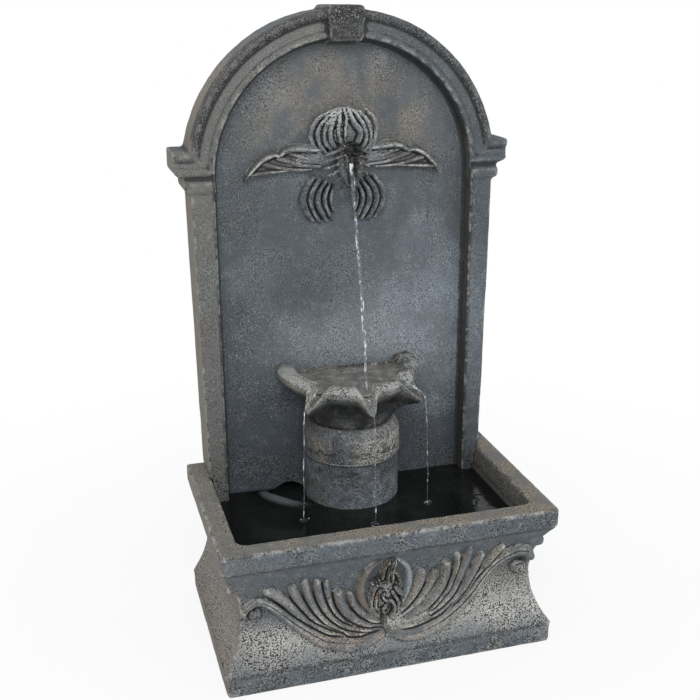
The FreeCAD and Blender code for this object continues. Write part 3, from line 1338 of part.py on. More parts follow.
def cord_gland():
    """The rubber boot where the cord would enter the motor case."""
    section = [
        (GLAND_BORE, PUMP_TOP - PUMP_WALL),
        (GLAND_NECK, PUMP_TOP - PUMP_WALL),
        (GLAND_NECK, PUMP_TOP),
        (GLAND_NECK + 2.2, PUMP_TOP),
        (GLAND_NECK + 2.2, PUMP_TOP + 2.0),
        (GLAND_NECK + 0.6, PUMP_TOP + 2.0),
        (GLAND_BORE + 1.2, PUMP_TOP + 13.0),
        (GLAND_BORE, PUMP_TOP + 13.0),
    ]
    return turned(section, Vector(GLAND_X, gland_y(), 0), Vector(0, 0, 1))


def export(name, shape):
    """Write one sub-part and print what it holds."""
    shape = shape.removeSplitter()
    volume = round(shape.Volume / 1000, 1)
    print(name, "solids", len(shape.Solids), "valid", shape.isValid(), "volume", volume)
    shape.exportStep("parts/" + name + ".step")


os.makedirs("parts", exist_ok=True)
PARTS = [
    basin,
    back_panel,
    pedestal,
    catch_bowl,
    bowl_gasket,
    fixing_bolts,
    fixing_washers,
    threaded_inserts,
    cord_grommet,
    water_tube,
    tube_clips,
    hose_clamps,
    spout_pipe,
    spout_elbow,
    pump_housing,
    pump_end_cap,
    pump_cover,
    cover_seal,
    impeller,
    rotor_magnet,
    impeller_shaft,
    shaft_bushes,
    stator_core,
    stator_coil,
    strainer,
    flow_dial,
    suction_cups,
    cord_gland,
]
for make in PARTS:
    export(make.__name__, make())
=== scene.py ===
import math

import bpy
from bpy.props import FloatProperty, FloatVectorProperty, IntProperty, PointerProperty
from mathutils import Matrix, Vector


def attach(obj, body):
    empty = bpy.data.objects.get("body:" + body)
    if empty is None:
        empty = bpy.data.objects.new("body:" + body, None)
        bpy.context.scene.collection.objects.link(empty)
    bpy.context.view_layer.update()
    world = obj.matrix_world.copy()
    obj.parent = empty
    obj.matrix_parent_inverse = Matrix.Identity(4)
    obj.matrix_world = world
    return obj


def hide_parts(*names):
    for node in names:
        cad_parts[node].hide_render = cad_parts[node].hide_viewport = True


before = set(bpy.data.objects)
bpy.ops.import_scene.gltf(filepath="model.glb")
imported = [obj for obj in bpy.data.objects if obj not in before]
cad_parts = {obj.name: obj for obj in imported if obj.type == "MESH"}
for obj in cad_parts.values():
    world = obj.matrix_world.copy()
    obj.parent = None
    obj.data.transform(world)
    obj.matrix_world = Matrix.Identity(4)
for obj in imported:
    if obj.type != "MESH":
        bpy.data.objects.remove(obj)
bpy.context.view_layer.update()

bl_info = {
    "name": "Garden wall fountain",
    "version": (1, 0, 0),
    "blender": (4, 5, 0),
    "location": "3D View > Sidebar > Fountain",
    "description": "Dresses a cast wall fountain: worn castings, carved relief, running water and pump",
    "category": "Object",
}

MM = 0.001

# Places on the castings, in millimetres. +X right, -Y front, +Z up.
FRONT = -144.0
BASIN_HALF = 228.0
COVE_TOP, COVE_FOOT, COVE_SAG, COVE_LEDGE = 178.0, 28.0, 26.0, 1.0
COVE_SLACK = 4.0
LEAVES_HALF = 214.0
FIELD = 100.0
ARCH_CENTRE_Z = 622.0
IRIS_REACH, IRIS_LOW, IRIS_HIGH = 165.0, 540.0, 735.0
DRUM_AXIS_Y = 67.0
DRUM_FLATS = 32
POOL_HALF_WIDTH, POOL_HALF_DEPTH, POOL_MIDDLE_Y = 195.4, 120.5, 10.0
BOWL_WATER_BACK = 92.0
LIP_TIPS = ((0.0, -42.5, 322.0), (-83.6, -5.2, 329.0), (83.6, -5.2, 329.0))
LIP_TURN = 49.3

# What stands proud of a pressed surface by more than the first goes as far behind it as the second.
PROUD, BURIED = 0.2, 0.3
# A relief's bare cells lie this far under the surface, and its shell is this thick.
BARE = -1.2
SHELL = 0.003
WATER_IOR = 1.33

CAMERA_PLACE = (-0.38841, -1.26648, 0.85721)
CAMERA_YAW, CAMERA_PITCH, CAMERA_ROLL = -16.21, -18.94, -0.27
LIGHT_TARGET = (0.0, 0.0, 0.42)


def srgb(red, green, blue):
    """A colour written as 0-255 screen values, as the linear RGBA that a shader socket takes."""
    values = (red, green, blue)
    linear = [(v / 255 / 12.92) if v < 10.4 else ((v / 255 + 0.055) / 1.055) ** 2.4 for v in values]
    return (*linear, 1.0)


# ---------------------------------------------------------------- modelling


def clear():
    if bpy.context.mode != "OBJECT":
        bpy.ops.object.mode_set(mode="OBJECT")
    bpy.ops.object.select_all(action="DESELECT")


def activate(*objects):
    """Selects these objects alone, the first one active."""
    clear()
    for piece in objects:
        piece.select_set(True)
    bpy.context.view_layer.objects.active = objects[0]


def added(primitive, **settings):
    """Adds a primitive with nothing else selected, and hands it over."""
    clear()
    primitive(**settings)
    return bpy.context.view_layer.objects.active


def edit(action, step=None, **settings):
    """Selects all or nothing of the active mesh, or keeps what is selected, and runs a step in edit mode."""
    bpy.ops.object.mode_set(mode="EDIT")
    if action:
        bpy.ops.mesh.select_all(action=action)
    if step:
        step(**settings)
    bpy.ops.object.mode_set(mode="OBJECT")


def modify(piece, kind, **settings):
    """Adds a modifier, sets it and applies it."""
    activate(piece)
    modifier = piece.modifiers.new(kind.title(), kind)
    for key, value in settings.items():
        setattr(modifier, key, value)
    bpy.ops.object.modifier_apply(modifier=modifier.name)


def move_points(piece, rule):
    """Moves each vertex to where a rule on its x, y, z in millimetres says."""
    for vertex in piece.data.vertices:
        vertex.co = Vector(rule(*(vertex.co / MM))) * MM
    piece.data.update()


def join(pieces):
    """Joins meshes into the first one."""
    activate(*pieces)
    if len(pieces) > 1:
        bpy.ops.object.join()
    return pieces[0]


def smooth(piece):
    activate(piece)
    bpy.ops.object.shade_smooth()
    return piece


def linked(name, data):
    """A new object with that data, in the scene."""
    piece = bpy.data.objects.new(name, data)
    bpy.context.scene.collection.objects.link(piece)
    return piece


def merged_copy(node, name):
    """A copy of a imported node's mesh, its loose triangles merged into closed shells."""
    piece = linked(name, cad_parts[node].data.copy())
    piece.data.materials.clear()
    activate(piece)
    edit("SELECT", bpy.ops.mesh.remove_doubles, threshold=0.00002)
    return piece


def wear_down(piece, depth, size):
    """Wears a surface inwards, in clouds of that size."""
    cloud = bpy.data.textures.new(piece.name + "_wear", "CLOUDS")
    cloud.noise_scale = size
    cloud.noise_depth = 3
    modify(piece, "DISPLACE", texture=cloud, texture_coords="LOCAL", strength=depth, mid_level=1.0)


def weather(piece, voxel, rounds, wear, size, triangles, shape=None):
    """Remeshes a shape evenly, rounds its edges, wears its faces inwards and thins the flat ones."""
    modify(piece, "REMESH", mode="VOXEL", voxel_size=voxel)
    modify(piece, "SMOOTH", factor=0.5, iterations=rounds)
    if shape:
        move_points(piece, shape)
    if wear:
        wear_down(piece, wear, size)
    count = sum(len(face.vertices) - 2 for face in piece.data.polygons)
    if count > triangles:
        modify(piece, "DECIMATE", decimate_type="COLLAPSE", ratio=triangles / count)
    return smooth(piece)


def strand(points, widths):
    """A rounded ridge along a smooth line, as wide at each point as its width says."""
    curve = bpy.data.curves.new("strand", "CURVE")
    curve.dimensions = "3D"
    curve.bevel_depth = MM
    curve.bevel_resolution = 3
    curve.resolution_u = 8
    curve.use_fill_caps = True
    line = curve.splines.new("BEZIER")
    line.bezier_points.add(len(points) - 1)
    for knot, point, width in zip(line.bezier_points, points, widths):
        knot.co = Vector(point) * MM
        knot.radius = width / 2
        knot.handle_left_type = knot.handle_right_type = "AUTO"
    activate(linked("strand", curve))
    bpy.ops.object.convert(target="MESH")
    parts = [bpy.context.view_layer.objects.active]
    ball = bpy.ops.mesh.primitive_uv_sphere_add
    for end in (0, -1):
        radius = widths[end] / 2
        if radius > 1.0:
            spot = Vector(points[end]) * MM
            parts.append(added(ball, segments=14, ring_count=8, radius=radius * MM, location=spot))
            bpy.ops.object.transform_apply()
    return join(parts)


def egg(centre, half, segments=28, rings=18):
    """A ball drawn out to half sizes along X, Y and Z."""
    piece = added(bpy.ops.mesh.primitive_uv_sphere_add, segments=segments, ring_count=rings, radius=MM)
    move_points(piece, lambda *spot: [c + v * h for c, v, h in zip(centre, spot, half)])
    return piece


def flow(knots, gap):
    """Values along a smooth line through knots, whose first two are its place."""
    ends = [knots[0], *knots, knots[-1]]
    line = []
    for before, start, end, after in zip(ends, ends[1:], ends[2:], ends[3:]):
        count = max(2, math.ceil(math.dist(start[:2], end[:2]) / gap))
        for k in range(count):
            t = k / count
            spot = []
            for p, q, r, s in zip(before, start, end, after):
                bend = 2 * p - 5 * q + 4 * r - s + t * (3 * (q - r) + s - p)
                spot.append(q + 0.5 * t * (r - p + t * bend))
            line.append(spot)
    return line + [list(knots[-1])]


class Carving:
    """Heights in millimetres over a flat sheet, raised and sunk by strokes, that become a carved skin."""

    def __init__(self, left, right, low, high, step):
        self.left, self.low, self.step = left, low, step
        self.columns = round((right - left) / step) + 1
        self.rows = round((high - low) / step) + 1
        self.heights = [0.0] * (self.columns * self.rows)

    def cells(self, x, z, reach):
        """Each cell within reach of a place, and how far out it lies as a share of that reach."""
        first = max(math.ceil((x - reach - self.left) / self.step), 0)
        last = min(math.floor((x + reach - self.left) / self.step), self.columns - 1)
        bottom = max(math.ceil((z - reach - self.low) / self.step), 0)
        top = min(math.floor((z + reach - self.low) / self.step), self.rows - 1)
        for row in range(bottom, top + 1):
            rise = self.low + row * self.step - z
            for column in range(first, last + 1):
                away = math.hypot(self.left + column * self.step - x, rise) / reach
                if away < 1.0:
                    yield row * self.columns + column, away

    def ridge(self, knots, tall, moat=1.3, sunk=0.3, full=0.5):
        """Raises a ridge along knots of x, z and width, in a moat that it sinks to a share of its height.

        The moat is as many times as wide as the ridge, and a smaller full makes a fuller section.
        """
        line = flow(knots, 1.0)
        widest = max(width for _, _, width in line)
        for x, z, width in line:
            for cell, _ in self.cells(x, z, width / 2 * moat):
                self.heights[cell] = min(self.heights[cell], tall * sunk)
        for x, z, width in line:
            crest = tall * math.sqrt(width / widest)
            for cell, away in self.cells(x, z, width / 2):
                self.heights[cell] = max(self.heights[cell], crest * (1 - away * away) ** full)

    def groove(self, knots, deep):
        """Sinks a line along knots of x, z and width."""
        sunk = {}
        for x, z, width in flow(knots, 0.8):
            for cell, away in self.cells(x, z, width / 2):
                sunk[cell] = max(sunk.get(cell, 0.0), deep * (1 - away * away))
        for cell, fall in sunk.items():
            self.heights[cell] -= fall

    def raised(self, row, column):
        """Whether a cell or one beside it stands up from the sheet."""
        rows = range(max(row - 1, 0), min(row + 2, self.rows))
        columns = range(max(column - 1, 0), min(column + 2, self.columns))
        return any(self.heights[i * self.columns + j] > 0.0 for i in rows for j in columns)

    def skin(self, name, lay, rounds=2, wear=0.0005):
        """The raised part as a closed shell on the surface that a rule gives for x, height and z."""
        grid = bpy.ops.mesh.primitive_grid_add
        piece = added(grid, x_subdivisions=self.columns - 1, y_subdivisions=self.rows - 1, size=2 * MM)
        piece.name = name
        edit("DESELECT")
        for vertex in piece.data.vertices:
            column = round((vertex.co.x / MM + 1) / 2 * (self.columns - 1))
            row = round((vertex.co.y / MM + 1) / 2 * (self.rows - 1))
            height = self.heights[row * self.columns + column]
            if height <= 0.0:
                height = BARE
            vertex.co = Vector(lay(self.left + column * self.step, height, self.low + row * self.step)) * MM
            vertex.select = not self.raised(row, column)
        edit(None, bpy.ops.mesh.delete, type="VERT")
        modify(piece, "SMOOTH", factor=0.5, iterations=rounds)
        wear_down(piece, wear, 0.005)
        modify(piece, "SOLIDIFY", thickness=SHELL, offset=-1.0)
        return smooth(piece)


def cove_inset(z):
    """How far the coved skirt lies behind the rim's front face at height z."""
    half = (COVE_TOP - COVE_FOOT) / 2
    radius = (half * half + COVE_SAG * COVE_SAG) / (2 * COVE_SAG)
    rise = min(abs(z - (COVE_TOP + COVE_FOOT) / 2), half)
    return COVE_LEDGE + COVE_SAG - radius + math.sqrt(radius * radius - rise * rise)


def in_cove(z):
    """Whether a height lies in the cove, clear of the edges above and below it."""
    return COVE_FOOT + 2 < z < COVE_TOP - 2


def on_cove(x, height, z):
    """Lays a carving on the coved front, and keeps it behind the rim's front face."""
    return x, max(FRONT + cove_inset(z) - height, FRONT + 0.6), z


def on_field(x, height, z):
    """Lays a carving on the panel's field."""
    return x, FIELD - height, z


def finished(piece, name, material, nodes=()):
    """Names a piece, gives it its finish, and ties it to the fountain."""
    piece.name = name
    piece.data.name = name
    piece.data.materials.clear()
    piece.data.materials.append(finish(material))
    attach(piece, "fountain")
    if nodes:
        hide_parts(*nodes)


# ---------------------------------------------------------------- shading


class Sock:
    """A shader socket that takes part in Python sums."""

    def __init__(self, tree, out):
        self.tree, self.out = tree, out

    def _sum(self, operation, left, right):
        return self.tree.node("ShaderNodeMath", {"operation": operation}, {0: left, 1: right})

    def __add__(self, other):
        return self._sum("ADD", self, other)

    def __radd__(self, other):
        return self._sum("ADD", other, self)

    def __sub__(self, other):
        return self._sum("SUBTRACT", self, other)

    def __rsub__(self, other):
        return self._sum("SUBTRACT", other, self)

    def __mul__(self, other):
        return self._sum("MULTIPLY", self, other)

    def __rmul__(self, other):
        return self._sum("MULTIPLY", other, self)

    def __abs__(self):
        return self._sum("ABSOLUTE", self, 0.0)


class Nodes:
    """A node tree that is made one node at a time."""

    def __init__(self, tree):
        self.links = tree.links
        self.nodes = tree.nodes
        self.nodes.clear()

    def node(self, kind, settings=None, sockets=None, out=0):
        """A node of a type, with its settings set first and then the values or links of its sockets."""
        made = self.nodes.new(kind)
        for key, value in (settings or {}).items():
            setattr(made, key, value)
        for key, value in (sockets or {}).items():
            if isinstance(value, Sock):
                self.links.new(value.out, made.inputs[key])
            else:
                made.inputs[key].default_value = value
        return Sock(self, made.outputs[out]) if len(made.outputs) else None

    def looked_at(self):
        """1 for what the camera sees straight, mirrored or through water, and 0 for the light on it."""
        seen = self.node("ShaderNodeLightPath", out="Is Camera Ray")
        mirrored = self.node("ShaderNodeLightPath", out="Is Glossy Ray")
        through = self.node("ShaderNodeLightPath", out="Is Transmission Ray")
        return self.node("ShaderNodeMath", {"operation": "MINIMUM"}, {0: seen + mirrored + through, 1: 1.0})


class Finish(Nodes):
    """A material on the piece's own coordinates."""

    def __init__(self, name):
        self.material = bpy.data.materials.new(name)
        self.material.use_nodes = True
        super().__init__(self.material.node_tree)
        self.here = self.place()
        self.x, self.y, self.z = self.parts(self.here)

    def place(self, stretch=None, shift=(0, 0, 0)):
        """Object coordinates, stretched along each axis if asked."""
        here = self.node("ShaderNodeTexCoord", out="Object")
        if stretch is None:
            return here
        return self.node("ShaderNodeMapping", None, {"Vector": here, "Scale": stretch, "Location": shift})

    def parts(self, vector):
        first = self.node("ShaderNodeSeparateXYZ", None, {0: vector})
        return [Sock(self, first.out.node.outputs[i]) for i in range(3)]

    def noise(self, where, scale, detail=3.0, rough=0.55, twist=0.0):
        values = {"Vector": where, "Scale": scale, "Detail": detail, "Roughness": rough, "Distortion": twist}
        return self.node("ShaderNodeTexNoise", None, values)

    def rise(self, value, low, high):
        """A smooth step from 0 at low to 1 at high."""
        ends = {"Value": value, "From Min": low, "From Max": high}
        return self.node("ShaderNodeMapRange", {"interpolation_type": "SMOOTHSTEP"}, ends)

    def below(self, value, edge, soft):
        """0 above an edge, and 1 from a soft strip below it down."""
        return self.rise(edge - value, 0.0, soft)

    def near(self, value, middle, width):
        """1 where a value is at the middle, 0 a width away on either side."""
        return 1.0 - self.rise(abs(value - middle), 0.0, width)

    def reach(self, first, second):
        """How long the line is whose two sides these are."""
        sides = self.node("ShaderNodeCombineXYZ", None, {0: first, 1: second})
        return self.node("ShaderNodeVectorMath", {"operation": "LENGTH"}, {0: sides}, "Value")

    def mix(self, factor, first, second):
        """Two colours mixed."""
        return self.node("ShaderNodeMix", {"data_type": "RGBA"}, {0: factor, 6: first, 7: second}, 2)

    def geometry(self, out):
        return self.node("ShaderNodeNewGeometry", out=out)

    def bump(self, height, strength, distance):
        values = {"Height": height, "Strength": strength, "Distance": distance}
        return self.node("ShaderNodeBump", None, values)

    def close(self, colour, rough, bump, **sockets):
        """Ends the tree in one plain surface shader, whose other sockets have _ for a space."""
        values = {"Base Color": colour, "Roughness": rough}
        if bump is not None:
            values["Normal"] = bump
        values.update({key.replace("_", " "): value for key, value in sockets.items()})
        shader = self.node("ShaderNodeBsdfPrincipled", None, values)
        self.node("ShaderNodeOutputMaterial", None, {"Surface": shader})
        return self.material


INK = srgb(24, 25, 27)
SLATE = srgb(66, 73, 80)
BLUE = srgb(99, 107, 115)
GREY = srgb(122, 124, 123)
PALE = srgb(188, 189, 184)
WHITE = srgb(226, 227, 224)
TAN = srgb(146, 135, 119)
# Painted light: the warm tone of faces turned left, towards the key light.
LIT_SIDE_TAN = srgb(136, 125, 113)
PEACH = srgb(170, 138, 116)
BROWN = srgb(74, 67, 58)


class Stone(Finish):
    """Aged cast stone, whose tone is painted layer on layer."""

    def __init__(self, name):
        super().__init__(name)
        self.side, _, self.up = self.parts(self.geometry("Normal"))
        self.hollow = self.geometry("Pointiness")
        self.cloud = self.noise(self.here, 6.5, 3.0, 0.55)
        self.patch = self.noise(self.place((1, 1, 0.8), (0.7, 0.2, 0.4)), 21.0, 4.0, 0.62)
        self.mottle = self.noise(self.here, 75.0, 4.0, 0.68)
        self.grain = self.noise(self.here, 540.0, 1.0, 0.55)
        self.grit = self.noise(self.place((1, 1, 1), (3.1, 1.7, 0.4)), 520.0, 1.0, 0.5)

    def lay(self, share, colour):
        """Lays a colour over the tone, as thick as its share says."""
        self.tone = self.mix(share, self.tone, colour)

    def blots(self, low, high, least=0.0, most=1.0):
        """Blots that run from a least share to a most."""
        blots = self.rise(self.mottle, low, high)
        return blots if (least, most) == (0.0, 1.0) else least + (most - least) * blots

    def ground(self, share, warm_share, cool=BLUE, deep=SLATE):
        """Cool clouds from deep to light, and warm weathered patches, with painted light warming the faces
        turned left and up.
        """
        self.tone = deep
        self.lay(self.rise(self.cloud + 0.5 * (self.patch - 0.5), 0.5 - share, 0.68 - share), cool)
        # Painted light: faces turned left and up are warmed as if lit; the patches themselves are weathering.
        weather_and_lit_sides = self.patch + 0.3 * (self.mottle - 0.5) + 0.28 * self.rise(0.0 - self.side, 0.35, 0.95)
        weather_and_lit_sides = weather_and_lit_sides + 0.12 * self.rise(self.up, 0.4, 0.95)
        self.lay(self.rise(weather_and_lit_sides, 0.62 - warm_share, 0.86 - warm_share) * 0.7, TAN)

    def aged(self, speckle, wash_and_shade=0.85, worn=0.6, wet=None, blotch=1.0):
        """Ends the finish: blots, pits, chips, a dark wash with painted shade in the hollows, the worn edges
        and the wet.
        """
        self.lay(self.blots(0.5, 0.7) * (0.2 * blotch), PALE)
        self.lay(self.rise(0.5 - self.mottle, 0.02, 0.2) * (0.28 * blotch), INK)
        zone = speckle * (0.45 + 1.0 * self.rise(self.patch + 0.4 * (self.mottle - 0.5), 0.36, 0.64))
        pits = self.rise(self.grain + 0.12 * (self.mottle - 0.5), 0.48, 0.61) * zone
        self.lay(pits * 0.9, INK)
        chips = self.rise(0.5 - self.grit, 0.06, 0.2) * zone
        self.lay(chips * 0.22, PALE)
        stars = self.rise(0.5 - self.grit, 0.2, 0.26) * zone
        self.lay(stars * 0.14, WHITE)
        # Creases darken: a dark wash and painted shade where the surface folds in.
        crease = self.below(self.hollow, 0.498, 0.035) * (0.5 + 1.0 * self.mottle)
        self.lay(self.rise(crease, 0.06, 0.62) * wash_and_shade, INK)
        ridge = self.rise(self.hollow, 0.509, 0.55)
        broken = self.rise(self.mottle + 0.3 * (self.grit - 0.5), 0.42, 0.6)
        self.lay(ridge * broken * worn, PALE)
        self.lay(ridge * (1.0 - broken) * self.rise(self.grain, 0.46, 0.56) * 0.8, INK)
        rough = 0.84 - 0.1 * ridge
        if wet is not None:
            self.lay(wet * 0.45, INK)
            rough = rough - 0.5 * wet
        height = 0.5 * (1.0 - self.grain) + 0.3 * self.mottle + 0.4 * self.grit
        return self.close(self.tone, rough, self.bump(height, 0.8, 0.0018))


def basin_finish():
    f = Stone("cast_stone_basin")
    f.ground(-0.03, 0.07, srgb(118, 123, 127), srgb(88, 95, 101))
    rim = f.rise(f.z, 0.1985, 0.2015) * f.rise(f.up, 0.5, 0.8)
    f.lay(rim * (0.35 + 0.5 * f.rise(f.patch, 0.42, 0.6)), TAN)
    front = f.below(f.y, -0.112, 0.004)
    band = f.rise(f.z, 0.176, 0.18) * f.rise(f.x, 0.06, 0.16) * f.below(f.up, 0.5, 0.2)
    f.lay(band * 0.4, SLATE)
    # Painted shade on the upper cove, under the fascia; fewer speckles show in it.
    cove_shade = f.near(f.z, 0.166, 0.022) * front
    f.lay(cove_shade * 0.5, srgb(84, 91, 98))
    low_cove = f.near(f.z, 0.062, 0.046) * f.below(f.z, 0.182, 0.02)
    f.lay(low_cove * (0.5 + 0.4 * f.rise(f.patch, 0.3, 0.65)), srgb(194, 192, 186))
    warm_cove = f.near(f.z, 0.095, 0.05) * f.rise(f.x, 0.03, 0.13) * front
    f.lay(warm_cove * 0.45, srgb(150, 143, 130))
    # Darker towards the left: painted shade that tempers the key light there.
    f.lay(f.below(f.x, -0.13, 0.08) * 0.4, srgb(104, 104, 102))
    rings = f.near(f.reach(f.x - 0.181, f.z - 0.114), 0.0118, 0.003)
    rings = rings + f.near(f.reach(f.x + 0.183, f.z - 0.105), 0.0092, 0.0026)
    f.lay(rings * front * 0.75, INK)
    for height, reach, share in ((0.1765, 0.0045, 0.9), (0.0282, 0.0038, 0.95), (0.2028, 0.0028, 0.9)):
        line = f.near(f.z + 0.004 * (f.mottle - 0.5), height, reach) * f.below(f.up, 0.95, 0.3)
        f.lay(line * f.rise(f.mottle + 0.6 * (f.grain - 0.5), 0.34, 0.48) * share, INK)
    inside = f.below(abs(f.x), 0.1985, 0.004) * f.rise(f.y, -0.1125, -0.108) * f.below(f.z, 0.2, 0.012)
    f.lay(inside * 0.6, SLATE)
    # Painted light: the left outer side is warmed where the key light falls.
    lit_left_side = f.rise(0.0 - f.side, 0.4, 0.8) * f.below(f.x, -0.18, 0.01)
    f.lay(lit_left_side * 0.5, LIT_SIDE_TAN)
    speckle = 0.85 + 0.45 * f.below(f.z, 0.13, 0.06) - 0.4 * cove_shade - 0.4 * inside
    return f.aged(speckle, wet=inside)


def panel_finish():
    f = Stone("cast_stone_panel")
    f.ground(0.03, -0.03, srgb(96, 104, 112))
    high = f.rise(f.z, 0.3, 0.78)
    f.lay((1.0 - high) * f.below(f.x, 0.02, 0.12) * 0.5, SLATE)
    f.lay(high * 0.3, GREY)
    halo = f.below(f.reach(f.x, f.z - 0.655), 0.16, 0.09) * f.rise(f.z, 0.62, 0.67)
    f.lay(halo * f.rise(f.patch, 0.34, 0.58) * 0.6, TAN)
    stain = f.rise(f.noise(f.place((1.0, 1.0, 0.35), (0.4, 0.0, 0.2)), 14.0, 3.0, 0.6), 0.5, 0.66)
    f.lay(stain * 0.45, SLATE)
    lit = f.rise(f.x, -0.05, 0.07) * f.near(f.z, 0.39, 0.17)
    f.lay(lit * (0.35 + 0.4 * f.rise(f.patch, 0.4, 0.6)), srgb(142, 151, 158))
    shade = f.near(f.z, 0.53, 0.1) * f.near(f.x, -0.03, 0.13)
    f.lay(shade * 0.6, srgb(70, 78, 86))
    splashed = f.near(f.z, 0.38, 0.085) * f.near(f.x, -0.01, 0.18)
    f.lay(splashed * (0.35 + 0.35 * f.rise(f.patch, 0.38, 0.62)), srgb(150, 158, 164))
    # Pale specks round the bowl: water drops, whose glints are painted in.
    drops = f.rise(f.noise(f.here, 430.0, 0.0, 0.3), 0.68, 0.76) * f.near(f.z, 0.38, 0.16)
    f.lay(drops * 0.35, srgb(192, 200, 206))
    capital = f.near(f.z, 0.672, 0.032) * f.rise(abs(f.x), 0.175, 0.185)
    f.lay(capital * 0.45, SLATE)

    front = f.below(f.y, 0.0965, 0.001)
    above = f.rise(f.z, 0.66, 0.668)
    out = f.reach(f.x, f.z - ARCH_CENTRE_Z * MM)
    left = 1.0 - f.rise(f.x, -0.06, 0.1)
    right_wall = f.rise(0.0 - f.side, 0.3, 0.7) * f.rise(f.x, 0.13, 0.16) * f.below(f.x, 0.19, 0.01)
    f.lay(right_wall * 0.75, BROWN)
    within_posts = f.below(abs(f.x), 0.176, 0.003) * (1.0 - above)
    within_arch = above * f.below(out, 0.172, 0.004)
    surround = front * (1.0 - within_posts) * (1.0 - within_arch)
    f.lay(surround * 0.5, f.mix(left, srgb(70, 75, 79), srgb(120, 116, 108)))
    # Painted light: the left outer side is warmed where the key light falls.
    lit_left_side = f.rise(0.0 - f.side, 0.5, 0.9) * f.below(f.x, -0.15, 0.01)
    f.lay(lit_left_side * 0.6, LIT_SIDE_TAN)
    bead = f.rise(out, 0.1985, 0.2005) * above * front * (1.0 - f.rise(abs(f.x), 0.202, 0.206))
    f.lay(bead * f.rise(f.mottle + 0.7 * (f.grain - 0.5), 0.28, 0.5) * (0.5 + 0.45 * left), INK)
    # Painted shade: a broken dark line along the pilasters' inner edges.
    post = f.near(abs(f.x) + 0.003 * (f.mottle - 0.5), 0.179, 0.0034) * f.below(f.z, 0.655, 0.004) * front
    f.lay(post * f.blots(0.15, 0.5) * 0.9, INK)
    # Painted shade: dark lines in the arch's crevice and along the step down to the field.
    arch = (f.near(out, 0.1992, 0.0026) + f.near(out, 0.1762, 0.002)) * above * front
    f.lay(arch * 0.7, INK)
    keystone = f.below(abs(f.x), 0.027, 0.002) * f.rise(f.z, 0.79, 0.792) * front
    f.lay(keystone * f.blots(0.4, 0.56, 0.35, 0.95), INK)

    run = f.near(f.x + 0.05 * (f.patch - 0.5), 0.0, 0.05) * f.below(f.z, 0.6, 0.1)
    low = f.below(f.z, 0.33, 0.15)
    speckle = 0.56 + 0.85 * bead + 0.3 * low + 0.4 * keystone - 0.05 * surround
    return f.aged(speckle, worn=0.5, wet=0.2 * run + 0.22 * low, blotch=0.5)


def iris_finish():
    f = Stone("cast_stone_iris")
    f.ground(0.0, 0.0, srgb(196, 197, 193), srgb(120, 123, 126))
    # Painted light: the crown's upturned faces are whitened.
    f.lay(f.rise(f.up, 0.1, 0.7) * f.rise(f.z, 0.66, 0.68) * 0.5, WHITE)
    falls = f.below(f.z, 0.635, 0.03)
    f.lay(falls * 0.9, srgb(78, 84, 89))
    petals = f.rise(abs(f.x), 0.045, 0.075) * f.rise(f.y, 0.0855, 0.09) * (1.0 - falls)
    f.lay(petals * f.blots(0.38, 0.56, 0.55, 0.95), srgb(66, 62, 57))
    proud = f.below(f.y, 0.09, 0.02)
    heart = f.near(f.x, 0.006, 0.024) * f.near(f.z, 0.672, 0.036) * proud
    f.lay(heart * f.blots(0.42, 0.56, 0.25, 0.75), INK)
    lip = f.below(f.reach(f.x + 0.003, 0.8 * (f.z - 0.636)), 0.035, 0.014) * proud
    f.lay(lip * f.blots(0.4, 0.54, 0.42, 0.97), INK)
    # Painted shade: the sunk mouth is painted black.
    mouth = f.below(f.reach(f.x - 0.004, f.z - 0.6565), 0.0115, 0.006) * proud
    f.lay(mouth, INK)
    wet = f.near(f.x, 0.002, 0.034) * f.below(f.z, 0.672, 0.02) * f.below(f.y, 0.085, 0.02)
    return f.aged(0.75, 1.0, 0.95 - 0.6 * falls, wet)


def acanthus_finish():
    f = Stone("cast_stone_leaves")
    f.ground(0.0, 0.06, srgb(146, 146, 142), srgb(108, 111, 112))
    roots = f.below(f.z, 0.09, 0.035)
    f.lay(roots * f.blots(0.44, 0.62) * 0.35, PEACH)
    return f.aged(0.7, 1.0, 0.75)


def bud_finish():
    f = Stone("cast_stone_bud")
    f.tone = BROWN
    f.lay(f.rise(f.patch + 0.3 * (f.mottle - 0.5), 0.42, 0.6), GREY)
    streak = f.near(f.x, -0.024, 0.007) * f.near(f.z, 0.103, 0.016)
    f.lay(streak * 0.7, PEACH)
    return f.aged(0.85, 1.0, 0.9)


def sheath_finish():
    f = Stone("cast_stone_sheath")
    f.tone = srgb(106, 99, 88)
    f.lay(f.rise(f.x, -0.02, 0.004), srgb(140, 146, 150))
    f.lay(f.rise(f.z, 0.13, 0.165) * 0.4, SLATE)
    return f.aged(0.4, 0.9, 0.6)


